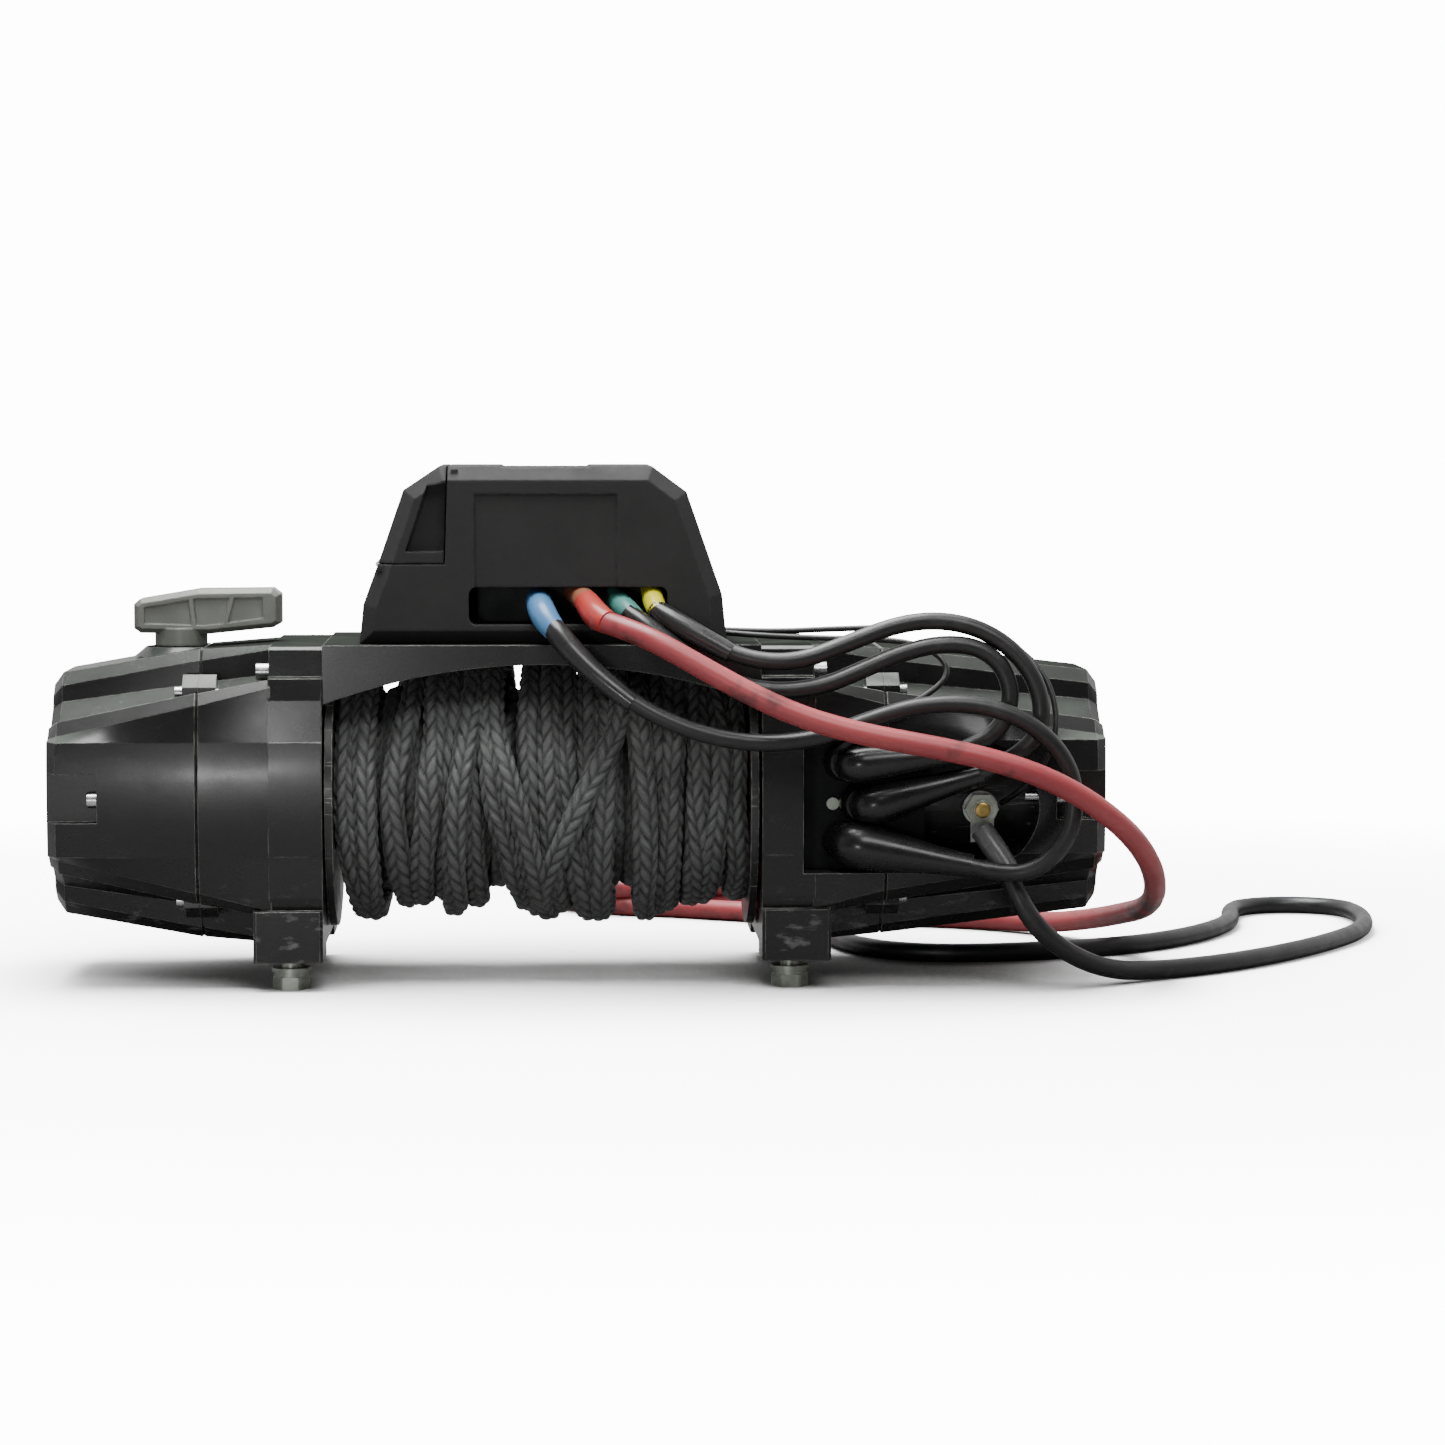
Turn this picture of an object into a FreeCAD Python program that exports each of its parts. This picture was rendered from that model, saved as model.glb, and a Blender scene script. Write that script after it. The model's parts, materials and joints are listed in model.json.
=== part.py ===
import FreeCAD, Part
import math
import os

V = FreeCAD.Vector

# An electric planetary winch with a horizontal drum. Millimetres, +Z up, the drum's axis along X.
# The origin is the middle of the mounting bolt pattern, in the plane of the feet's undersides.
# The front, where the cables leave, faces -Y. Gear train on the -X side, motor on the +X side.

# ---- driving dimensions -------------------------------------------------------------------
BOLT_X = 127.0              # mounting bolts stand at +-BOLT_X, +-BOLT_Y
BOLT_Y = 57.15
AXIS_Z = 82.5               # height of the drum's axis above the feet
FLOOR_Z = -15.0             # what the mounting bolts' heads stand on when the winch isn't mounted
INNER_LEFT = -110.0         # inner faces of the two end supports
INNER_RIGHT = 112.0
SEAM_LEFT = -173.0          # where the covers meet the supports
SEAM_RIGHT = 175.0
END_LEFT = -249.0           # outer ends of the covers
END_RIGHT = 288.0
POCKET_END = 27.0           # how far a support's thick inner flange runs from its inner face
FOOT_WIDE = 35.0
FOOT_FRONT = 75.0
FOOT_BACK = 38.0
FOOT_TALL = 26.0
BAND_HALF = 29.0            # half the height of the smooth band along the front and back
BAND_BULGE = 1.8            # how far the band's middle stands out beyond its edges
SEAM_BEVEL = 0.8
SEAM_SCALE = 0.988

# Fasteners.
BOLT_R = 5.0
BOLT_HOLE_R = 5.5
NUT_Z0 = 9.0
NUT_THICK = 8.0
NUT_FLATS = 16.0
HEAD_TOP_Z = -8.6
SPRING_TOP_Z = -6.0
WASHER_TOP_Z = -4.0
TIE_BOLT_Y = 50.0
TIE_BOLT_Z = AXIS_Z + 63.5
TIE_BOLT_R = 3.0
TIE_HEAD_R = 4.3
CASE_SCREW_Y = 52.0
CASE_SCREW_Z = AXIS_Z + 53.0
CASE_SCREW_R = 2.0
CASE_HEAD_R = 3.2
NOTCH_DEEP = 9.0
END_SCREW_Y = 68.0

# The arched tie plate over the drum.
TIE_TOP_Z = 160.0
TIE_UNDER_Z = 156.5
TIE_LIP_Y = 67.0
TIE_LIP_THICK = 5.0
ARCH_END_Z = 130.0
ARCH_TOP_Z = 150.0

# The drum and its rope.
FLANGE_R = 72.0
FLANGE_THICK = 4.0
BARREL_R = 32.0
BARREL_BORE_R = 24.0
TRUNNION_R = 27.0
BUSHING_R = 30.0
FIT = 0.05                  # radial clearance of every running fit
ROPE_R = 61.0
CLAMP_X = -98.0             # the screw that holds the rope's inner end
BRAKE_X0 = 36.0
BRAKE_X1 = 80.0
BRAKE_HUB_R = 14.0

# The gear train: three planetary stages in one ring.
MODULE = 1.5
SUN_TEETH = 12
PLANET_TEETH = 24
RING_TEETH = SUN_TEETH + 2 * PLANET_TEETH
ADDENDUM = 0.8 * MODULE
DEDENDUM = 1.0 * MODULE
PRESSURE_ANGLE = math.radians(25)
BACKLASH = 0.3
PLANET_ORBIT_R = MODULE * (SUN_TEETH + PLANET_TEETH) / 2
RING_OUTER_R = 52.0
GEAR_WIDE = 12.0
STAGE_PITCH = 18.0
STAGE_1_X = -228.0          # outer end of the first stage's gears
CARRIER_R = 40.0
CARRIER_THICK = 4.0
PIN_R = 5.0
SHAFT_R = 4.0
SHAFT_HOLE_R = 5.0
DRIVE_HUB_R = 16.0
DRIVE_HUB_END = -97.0

# The motor.
CAN_R = 45.0
CAN_X0 = 178.0
CAN_X1 = 270.0
ARMATURE_R = 28.0
WINDOW_X0 = 133.0           # the opening that shows the motor's terminals; heights from the axis
WINDOW_X1 = 253.0
WINDOW_LOW = -38.5
WINDOW_HIGH = 29.0
PLATE_Y = -55.0
TERMINALS = ((159.0, 99.0), (167.0, 78.0), (158.5, 58.0))     # x, z of the three motor studs
BOOT_ENDS = ((207.0, -76.0, 104.5), (221.0, -70.5, 93.0), (215.0, -77.5, 48.5))
GROUND_X = 224.5
GROUND_Z = 75.5
PALM_FRONT = -57.5          # the front of the ground lug's flat palm
GROUND_TAIL = (234.0, -77.0, 50.0)      # where the ground lug's sleeve ends and its cable starts

# The control pack.
PACK_FRONT = 60.0
PACK_WALL = 3.0
PACK_FLOOR_Z = TIE_TOP_Z
PACK_BEVEL = 7.0
DOOR_Z = 200.5
DOOR_X = -46.5
DOOR_PIN_X = -82.0
DOOR_PIN_R = 1.4
SLOT_X0 = -36.0
SLOT_X1 = 64.5
SLOT_LOW = 170.0
SLOT_HIGH = 189.0
SOCKET_X = -60.0
SOCKET_R = 11.0
SOCKET_TOP_Z = 215.0
SOCKET_STEP_Z = 207.0
SOCKET_BORE_R = 8.0
CONTACTOR_X = 20.0
CONTACTOR_FRONT = -36.0
CONTACTOR_TOP_Z = 222.0
LEAD_STUDS = ((-1.0, 181.0), (19.0, 184.0), (38.0, 182.0), (56.0, 185.0))     # x, z
LEAD_BOOT_R = (6.8, 6.8, 6.3, 5.7)
LEAD_STARTS = ((1.5, -66.0, 176.0), (28.0, -76.0, 173.5), (43.5, -64.0, 176.0), (57.0, -64.0, 178.5))

# The clutch.
LEVER_X = -186.0
LEVER_LOW_Z = 163.0
LEVER_RIBS = ((-181.5, 2.0), (-159.5, -5.0))    # x at the top, and how far each leans by its foot
HUB_LOW_Z = 156.9
BOSS_TOP_Z = 156.5
SHAFT_TOP_R = 8.0
CLUTCH_PIN_R = 4.5

# Cables: radii, and the stud holes of the lugs on their far ends.
RED_R = 5.75
BLACK_R = 5.0
LEAD_R = 4.2
WIRE_R = 1.5
LUG_HOLE_R = 4.2


# ---- helpers ------------------------------------------------------------------------------
def rod(x0, x1, r, y=0.0, z=AXIS_Z):
    """A cylinder along X."""
    return Part.makeCylinder(r, x1 - x0, V(x0, y, z), V(1, 0, 0))


def tube(x0, x1, outer, inner, y=0.0, z=AXIS_Z):
    return rod(x0, x1, outer, y, z).cut(rod(x0 - 1, x1 + 1, inner, y, z))


def pillar(x, y, z0, z1, r):
    """A cylinder along Z."""
    return Part.makeCylinder(r, z1 - z0, V(x, y, z0), V(0, 0, 1))


def peg(x, z, y0, y1, r):
    """A cylinder along Y."""
    return Part.makeCylinder(r, y1 - y0, V(x, y0, z), V(0, 1, 0))


def block(x0, x1, y0, y1, z0, z1):
    return Part.makeBox(x1 - x0, y1 - y0, z1 - z0, V(x0, y0, z0))


def hexagon(x, y, z0, z1, across_flats, turn=0.0):
    """A hexagonal prism along Z."""
    r = across_flats / math.sqrt(3)
    turns = [turn + i * math.pi / 3 for i in range(7)]
    corners = [V(x + r * math.cos(a), y + r * math.sin(a), z0) for a in turns]
    return Part.Face(Part.makePolygon(corners)).extrude(V(0, 0, z1 - z0))


def side_profile(points, y0, y1):
    """A prism along Y from (x, z) points."""
    corners = [V(x, y0, z) for x, z in points]
    return Part.Face(Part.makePolygon(corners + corners[:1])).extrude(V(0, y1 - y0, 0))


def fuse(shapes):
    whole = shapes[0].multiFuse(shapes[1:]) if len(shapes) > 1 else shapes[0]
    return whole.removeSplitter()


def cut(shape, tools):
    for tool in tools:
        shape = shape.cut(tool)
    return shape


def ring_copies(shape, count, start=0.0):
    """Copies of a shape turned evenly around the drum's axis."""
    out = []
    for i in range(count):
        copy = shape.copy()
        copy.rotate(V(0, 0, AXIS_Z), V(1, 0, 0), start + 360.0 * i / count)
        out.append(copy)
    return out


# ---- cords --------------------------------------------------------------------------------
def cord_path(points):
    """Straight runs joined by tangent arcs as large as the runs allow. Returns (wire, radii)."""
    p = [V(*q) for q in points]
    runs = [(b - a).Length for a, b in zip(p, p[1:])]
    edges = []
    radii = []
    start = p[0]
    for i in range(1, len(p) - 1):
        into = (p[i] - p[i - 1]).normalize()
        out = (p[i + 1] - p[i]).normalize()
        reach = 0.45 * min(runs[i - 1], runs[i])
        radii.append(reach / math.tan(into.getAngle(out) / 2))
        first = p[i] - into * reach
        last = p[i] + out * reach
        inward = (out - into).normalize()
        half = into.getAngle(out) / 2
        middle = p[i] + inward * (radii[-1] * (1 / math.cos(half) - 1))
        edges.append(Part.LineSegment(start, first).toShape())
        edges.append(Part.Arc(first, middle, last).toShape())
        start = last
    edges.append(Part.LineSegment(start, p[-1]).toShape())
    return Part.Wire(edges), radii


def cord_tube(name, points, radius):
    """A round tube along a cord's route, with its radii and its volume printed for checking."""
    wire, radii = cord_path(points)
    start = V(*points[0])
    along = V(*points[1]) - start
    section = Part.Face(Part.Wire(Part.Circle(start, along, radius).toShape()))
    solid = wire.makePipe(section)
    if solid.ShapeType != "Solid":
        solid = solid.Solids[0]
    share = solid.Volume / (math.pi * radius ** 2 * wire.Length)
    tight = ", ".join(f"{r:.0f}" for r in radii)
    print(f"{name}: length {wire.Length:.0f}, volume ratio {share:.4f}, valid {solid.isValid()}")
    print(f"    bend radii {tight}")
    return solid


def coil_ring(centre, middle_r, half_wide, tall):
    """The outer shape of a neat flat coil on the floor."""
    outer = pillar(centre[0], centre[1], FLOOR_Z, FLOOR_Z + tall, middle_r + half_wide)
    inner = pillar(centre[0], centre[1], FLOOR_Z - 1, FLOOR_Z + tall + 1, middle_r - half_wide)
    return outer.cut(inner)


# ---- the case section ---------------------------------------------------------------------
# One quadrant of the outline, as (y, z) from the axis, from the smooth front band up over the
# front rib, down into the pocket that holds the screws, and up over the top rib.
def quadrant(depth, front_low, front_high, floor_front, floor_top, top_low, top_high):
    return [(depth, BAND_HALF), front_low, front_high, floor_front, floor_top, top_low, top_high]


AT_FLANGE = quadrant(72.5, (71, 56.5), (67, 60.5), (60, 51), (44, 62), (43, 74.5), (39, 76.5))
AT_SEAM = quadrant(72.5, (69.5, 47.5), (64, 53.5), (57, 43.5), (38, 57), (38, 68.5), (32, 74))
AT_SHOULDER = quadrant(69.5, (62, 31.5), (56, 38.5), (50.5, 33.5), (33.5, 47), (32.5, 55.5), (25.5, 62))
AT_END = quadrant(62, (57, 29.8), (50.5, 35), (46, 30.5), (31, 43.5), (29, 49.5), (21.5, 55.5))


def section_wire(x, points, scale=1.0):
    """The whole outline at x: the quadrant mirrored front to back and top to bottom."""
    quad = [(y * scale, z * scale) for y, z in points]
    upper_front = [(-y, z) for y, z in quad]
    upper_back = [(y, z) for y, z in reversed(quad)]
    lower_back = [(y, -z) for y, z in quad]
    lower_front = [(-y, -z) for y, z in reversed(quad)]
    ring = [V(x, y, AXIS_Z + z) for y, z in upper_front + upper_back + lower_back + lower_front]
    bulge = quad[0][0] + BAND_BULGE
    count = len(quad)
    edges = []
    for i, corner in enumerate(ring):
        following = ring[(i + 1) % len(ring)]
        if i == 2 * count - 1:
            edges.append(Part.Arc(corner, V(x, bulge, AXIS_Z), following).toShape())
        elif i == 4 * count - 1:
            edges.append(Part.Arc(corner, V(x, -bulge, AXIS_Z), following).toShape())
        else:
            edges.append(Part.LineSegment(corner, following).toShape())
    return Part.Wire(edges)


def case_loft(stations):
    return Part.makeLoft([section_wire(*station) for station in stations], True, True)


def mirrored_y(shape):
    return shape.mirror(V(0, 0, 0), V(0, 1, 0))


def mirrored_z(shape):
    return shape.mirror(V(0, 0, AXIS_Z), V(0, 0, 1))


def four_ways(shape):
    """A shape and its mirror images front to back and top to bottom."""
    pair = [shape, mirrored_y(shape)]
    return pair + [mirrored_z(s) for s in pair]


# ---- supports and covers ------------------------------------------------------------------
def flange_outline():
    """Half of a support's thick inner flange, (y, z) from the axis, front top first."""
    return [(72.5, BAND_HALF), (71.5, 50.0), (69.5, 61.0), (62.5, 61.5), (61.0, 75.0), (59.0, 76.5)]


def support_flange(x0, x1):
    half = flange_outline()
    top = [(-y, z) for y, z in half] + [(y, z) for y, z in reversed(half)]
    bottom = [(y, -z) for y, z in half] + [(-y, -z) for y, z in reversed(half)]
    ring = [V(x0, y, AXIS_Z + z) for y, z in top + bottom]
    slab = Part.Face(Part.makePolygon(ring + ring[:1])).extrude(V(x1 - x0, 0, 0))
    bulge = cut(rod(x0, x1, 300.0, 72.5 + BAND_BULGE - 300.0), [block(x0 - 1, x1 + 1, -400, 60, -400, 500)])
    bulge = bulge.common(block(x0, x1, 0, 90, AXIS_Z - BAND_HALF, AXIS_Z + BAND_HALF))
    return fuse([slab, bulge, mirrored_y(bulge)])


def foot(x0, side_y):
    """One foot block with its bolt hole and the slot that holds the captive nut."""
    y0, y1 = sorted((side_y * FOOT_BACK, side_y * FOOT_FRONT))
    body = block(x0, x0 + FOOT_WIDE, y0, y1, 0, FOOT_TALL)
    edges = [e for e in body.Edges if abs(e.Vertexes[0].Z - e.Vertexes[-1].Z) > FOOT_TALL / 2]
    return body.makeChamfer(1.5, edges)


def foot_cuts(bolt_x, side_y):
    bolt_y = side_y * BOLT_Y
    hole = pillar(bolt_x, bolt_y, -1, 22, BOLT_HOLE_R)
    inner = side_y * (FOOT_BACK - 1)
    outer = bolt_y + side_y * 9.5
    y0, y1 = sorted((inner, outer))
    half = NUT_FLATS / 2 + 0.15
    slot = block(bolt_x - half, bolt_x + half, y0, y1, NUT_Z0 - 0.2, NUT_Z0 + NUT_THICK + 0.2)
    return [hole, slot]


def pocket_boss(x0, x1):
    """The small raised block that a case screw clamps, in each of the four pockets."""
    shape = [(58.0, 44.0), (58.5, 56.0), (49.0, 62.0), (44.0, 60.0), (42.0, 52.0)]
    corners = [V(x0, -y, AXIS_Z + z) for y, z in shape]
    return four_ways(Part.Face(Part.makePolygon(corners + corners[:1])).extrude(V(x1 - x0, 0, 0)))


def end_support(side):
    """The support between drum and cover. side is -1 for the gear end and 1 for the motor end."""
    inner = INNER_LEFT if side < 0 else INNER_RIGHT
    seam = SEAM_LEFT if side < 0 else SEAM_RIGHT
    thick = inner + side * POCKET_END
    stations = [(thick - side, AT_FLANGE), (seam - side * SEAM_BEVEL, AT_SEAM), (seam, AT_SEAM, SEAM_SCALE)]
    shapes = [support_flange(min(inner, thick), max(inner, thick)), case_loft(stations)]
    shapes += pocket_boss(*sorted((seam, seam - side * 9)))
    foot_x = inner - FOOT_WIDE if side < 0 else inner
    shapes += [foot(foot_x, 1), foot(foot_x, -1)]
    body = fuse(shapes)
    tools = foot_cuts(side * BOLT_X, 1) + foot_cuts(side * BOLT_X, -1)
    wall = inner + side * 19
    tools.append(rod(*sorted((wall, seam + side)), RING_OUTER_R))
    tools.append(rod(*sorted((inner - side, wall + side)), BUSHING_R))
    tie_hole = rod(*sorted((inner - side, thick + side)), TIE_BOLT_R + 0.2, -TIE_BOLT_Y, TIE_BOLT_Z)
    tools += [tie_hole, mirrored_y(tie_hole)]
    screw_hole = rod(*sorted((seam - side * 14, seam + side)), CASE_SCREW_R, -CASE_SCREW_Y, CASE_SCREW_Z)
    tools += four_ways(screw_hole)
    if side > 0:
        tools.append(motor_window())
    return cut(body, tools)


def end_notch(side):
    """The notch with a screw in it, in the middle of the front and back of each cover's outer end."""
    outer = END_LEFT if side < 0 else END_RIGHT
    x0, x1 = sorted((outer + side * 2, outer - side * 26))
    notch = block(x0, x1, -90, -72.5 + NOTCH_DEEP, AXIS_Z - 11.5, AXIS_Z + 13)
    return [notch, mirrored_y(notch)]


def cover_cuts(side):
    seam = SEAM_LEFT if side < 0 else SEAM_RIGHT
    outer = END_LEFT if side < 0 else END_RIGHT
    tools = end_notch(side)
    screw_hole = rod(*sorted((seam - side, seam + side * 9)), CASE_SCREW_R, -CASE_SCREW_Y, CASE_SCREW_Z)
    tools += four_ways(screw_hole)
    screw = rod(*sorted((outer - side * 44, outer - side * 20)), 2.5, -END_SCREW_Y)
    tools += [screw, mirrored_y(screw)]
    return tools


def cover_body(side):
    seam = SEAM_LEFT if side < 0 else SEAM_RIGHT
    outer = END_LEFT if side < 0 else END_RIGHT
    stations = [
        (seam, AT_SEAM, SEAM_SCALE),
        (seam + side * SEAM_BEVEL, AT_SEAM),
        (outer - side * 5, AT_SHOULDER),
        (outer, AT_END),
    ]
    return fuse([case_loft(stations)] + pocket_boss(*sorted((seam, seam + side * 8))))


def gear_case():
    boss = pillar(LEVER_X, 0, AXIS_Z + 60, BOSS_TOP_Z, 18)
    skirt = Part.makeCone(24, 18, 5, V(LEVER_X, 0, BOSS_TOP_Z - 5), V(0, 0, 1))
    body = fuse([cover_body(-1), boss, skirt])
    tools = cover_cuts(-1)
    tools.append(block(SEAM_LEFT, SEAM_LEFT + 20, -30, 30, 140, 170))
    tools.append(rod(STAGE_1_X - 3, SEAM_LEFT + 1, RING_OUTER_R))
    tools.append(rod(END_LEFT + 8, STAGE_1_X, RING_OUTER_R - 8))
    tools.append(pillar(LEVER_X, 0, 146, 157, SHAFT_TOP_R + FIT))
    tools.append(pillar(LEVER_X, 0, 120, 147, CLUTCH_PIN_R + FIT))
    return cut(body, tools)


def motor_window():
    """The opening at the front that shows the motor's terminals, round at its outer end."""
    r = (WINDOW_HIGH - WINDOW_LOW) / 2
    middle = AXIS_Z + (WINDOW_HIGH + WINDOW_LOW) / 2
    front, back = -90, -38
    square = block(WINDOW_X0, WINDOW_X1 - r, front, back, middle - r, middle + r)
    return square.fuse(peg(WINDOW_X1 - r, middle, front, back, r))


def motor_cover():
    tools = cover_cuts(1)
    tools.append(rod(SEAM_RIGHT - 1, END_RIGHT - 6, RING_OUTER_R))
    tools.append(motor_window())
    return cut(cover_body(1), tools)


# ---- tie plate and fasteners --------------------------------------------------------------
def tie_plate():
    """The arched plate that joins the supports over the drum and carries the control pack."""
    x0, x1 = INNER_LEFT + 0.2, INNER_RIGHT - 0.2
    half = (x1 - x0) / 2
    middle = (x0 + x1) / 2
    sheet = block(x0, x1, -TIE_LIP_Y, TIE_LIP_Y, TIE_UNDER_Z, TIE_TOP_Z)
    rise = ARCH_TOP_Z - ARCH_END_Z
    radius = (half ** 2 + rise ** 2) / (2 * rise)
    lip = block(x0, x1, -TIE_LIP_Y, -TIE_LIP_Y + TIE_LIP_THICK, ARCH_END_Z, TIE_TOP_Z)
    lip = lip.cut(peg(middle, ARCH_TOP_Z - radius, -TIE_LIP_Y - 1, -TIE_LIP_Y + TIE_LIP_THICK + 1, radius))
    bevel = block(x0, x1, -80, -58, TIE_TOP_Z, TIE_TOP_Z + 9)
    bevel.rotate(V(0, -TIE_LIP_Y, TIE_TOP_Z - 3), V(1, 0, 0), 25)
    pads = [block(x, x + 22, -58, -44, AXIS_Z + 60, TIE_UNDER_Z + 1) for x in (x0, x1 - 22)]
    lugs = pads + [mirrored_y(p) for p in pads]
    body = fuse([sheet, lip, mirrored_y(lip)])
    body = cut(body, [bevel, mirrored_y(bevel)])
    body = fuse([body] + lugs)
    tools = [rod(x0 - 1, x0 + 16, TIE_BOLT_R, y, TIE_BOLT_Z) for y in (-TIE_BOLT_Y, TIE_BOLT_Y)]
    tools += [rod(x1 - 16, x1 + 1, TIE_BOLT_R, y, TIE_BOLT_Z) for y in (-TIE_BOLT_Y, TIE_BOLT_Y)]
    return cut(body, tools)


def socket_screw(tip, head, direction, y, z, r, head_r, head_tall):
    """A cap screw along X: shank from tip to head, then the head with its hexagonal socket."""
    shank = rod(*sorted((tip, head)), r, y, z)
    crown = rod(*sorted((head, head + direction * head_tall)), head_r, y, z)
    key = hexagon(0, 0, 0, head_tall * 0.6, head_r * 0.95)
    key.rotate(V(0, 0, 0), V(0, 1, 0), 90 * direction)
    key.translate(V(head + direction * head_tall * 0.5, y, z))
    return fuse([shank, crown]).cut(key)


def tie_bolts():
    out = []
    for side, inner in ((-1, INNER_LEFT), (1, INNER_RIGHT)):
        seat = inner + side * POCKET_END
        for y in (-TIE_BOLT_Y, TIE_BOLT_Y):
            tip = inner - side * 12
            out.append(socket_screw(tip, seat, side, y, TIE_BOLT_Z, TIE_BOLT_R, TIE_HEAD_R, 7))
    return Part.Compound(out)


def cover_screws():
    out = []
    for side, seam, outer in ((-1, SEAM_LEFT, END_LEFT), (1, SEAM_RIGHT, END_RIGHT)):
        seat = seam + side * 8
        tip = seam - side * 10
        screw = socket_screw(tip, seat, side, -CASE_SCREW_Y, CASE_SCREW_Z, CASE_SCREW_R, CASE_HEAD_R, 4)
        out += four_ways(screw)
        step = outer - side * 26
        end = socket_screw(step - side * 16, step, side, -END_SCREW_Y, AXIS_Z, 2.5, 4.0, 5)
        out += [end, mirrored_y(end)]
    return Part.Compound(out)


def at_bolts(make):
    return Part.Compound([make(x, y) for x in (-BOLT_X, BOLT_X) for y in (-BOLT_Y, BOLT_Y)])


def mounting_bolt(x, y):
    head = hexagon(x, y, FLOOR_Z, HEAD_TOP_Z, 17)
    head = head.common(pillar(x, y, FLOOR_Z, HEAD_TOP_Z, 9.4))
    return fuse([head, pillar(x, y, HEAD_TOP_Z, 20, BOLT_R - 0.4)])


def washer_pair(x, y):
    flat = pillar(x, y, SPRING_TOP_Z, WASHER_TOP_Z, 10).cut(pillar(x, y, -20, 0, BOLT_R + 0.3))
    spring = pillar(x, y, HEAD_TOP_Z, SPRING_TOP_Z, 8.8).cut(pillar(x, y, -20, 0, BOLT_R + 0.1))
    gap = block(x + 4, x + 10, y - 0.8, y + 0.8, HEAD_TOP_Z - 1, SPRING_TOP_Z + 1)
    return Part.Compound([flat, spring.cut(gap.common(pillar(x, y, HEAD_TOP_Z - 1, SPRING_TOP_Z + 1, 9)))])


def foot_nut(x, y):
    nut = hexagon(x, y, NUT_Z0, NUT_Z0 + NUT_THICK, NUT_FLATS, math.pi / 6)
    return nut.cut(pillar(x, y, 0, 30, BOLT_R - 0.4))


# ---- gear train ---------------------------------------------------------------------------
def involute(angle):
    return math.tan(angle) - angle


def gear_face(x, teeth, tip_r, root_r, slack, turn=0.0):
    """A gear's outline at x. Each tooth has six corners, two each at the root, pitch and tip circles."""
    pitch_r = MODULE * teeth / 2
    base_r = pitch_r * math.cos(PRESSURE_ANGLE)
    half_at_pitch = math.pi / (2 * teeth) - slack / (2 * pitch_r)

    def half_angle(r):
        lean = math.acos(min(1.0, base_r / max(r, base_r)))
        return half_at_pitch + involute(PRESSURE_ANGLE) - involute(lean)

    corners = []
    for i in range(teeth):
        middle = turn + 2 * math.pi * i / teeth
        radii = (root_r, pitch_r, tip_r)
        tooth = [(r, middle - half_angle(r)) for r in radii]
        tooth += [(r, middle + half_angle(r)) for r in reversed(radii)]
        corners += [V(x, r * math.cos(a), AXIS_Z + r * math.sin(a)) for r, a in tooth]
    return Part.Face(Part.makePolygon(corners + corners[:1]))


def outer_gear(x0, teeth, slack, turn=0.0):
    pitch_r = MODULE * teeth / 2
    face = gear_face(x0, teeth, pitch_r + ADDENDUM, pitch_r - DEDENDUM, slack, turn)
    return face.extrude(V(GEAR_WIDE, 0, 0))


def ring_gear():
    """The fixed ring that all three stages run in, with a row of holes for the clutch pin."""
    x0, x1 = STAGE_1_X - 1, STAGE_1_X + 2 * STAGE_PITCH + GEAR_WIDE + 1
    pitch_r = MODULE * RING_TEETH / 2
    half_pitch = math.pi / RING_TEETH
    space = gear_face(x0 - 1, RING_TEETH, pitch_r + DEDENDUM, pitch_r - ADDENDUM, -BACKLASH, half_pitch)
    blank = rod(x0, x1, RING_OUTER_R - 0.02)
    space = space.extrude(V(x1 - x0 + 2, 0, 0))
    hole = pillar(LEVER_X, 0, AXIS_Z + 40, AXIS_Z + 60, CLUTCH_PIN_R + 0.3)
    return cut(blank.cut(space), ring_copies(hole, 8))


def stage_x(stage):
    """Where the gears of a stage start. Stage 1 is the outermost."""
    return STAGE_1_X + (stage - 1) * STAGE_PITCH


def planet(stage, index):
    x0 = stage_x(stage)
    half_pitch = math.pi / PLANET_TEETH
    gear = outer_gear(x0, PLANET_TEETH, BACKLASH / 2, half_pitch)
    gear = gear.cut(rod(x0 - 1, x0 + GEAR_WIDE + 1, PIN_R + FIT))
    turn = 2 * math.pi * index / 3
    gear.translate(V(0, PLANET_ORBIT_R * math.cos(turn), PLANET_ORBIT_R * math.sin(turn)))
    return gear


def carrier(stage):
    """A disc with three planet pins. Stages 1 and 2 carry the next sun, stage 3 the drum's drive hub."""
    x1 = stage_x(stage) + GEAR_WIDE
    disc = rod(x1 + 0.5, x1 + 0.5 + CARRIER_THICK, CARRIER_R)
    pin = rod(x1 - GEAR_WIDE, x1 + 1, PIN_R, PLANET_ORBIT_R)
    shapes = [disc] + ring_copies(pin, 3)
    if stage < 3:
        shapes.append(rod(x1 + 2, stage_x(stage + 1), 6.5))
        shapes.append(outer_gear(stage_x(stage + 1), SUN_TEETH, BACKLASH / 2))
    else:
        shapes.append(rod(x1 + 2, DRIVE_HUB_END, DRIVE_HUB_R))
    return fuse(shapes).cut(rod(-240, 0, SHAFT_HOLE_R))


def drive_shaft():
    """The long shaft from the motor through the drum, with the first stage's sun at its outer end."""
    core = rod(STAGE_1_X, CAN_X1 + 6, SHAFT_R)
    sun = outer_gear(STAGE_1_X, SUN_TEETH, BACKLASH / 2)
    return fuse([core, sun])


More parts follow.
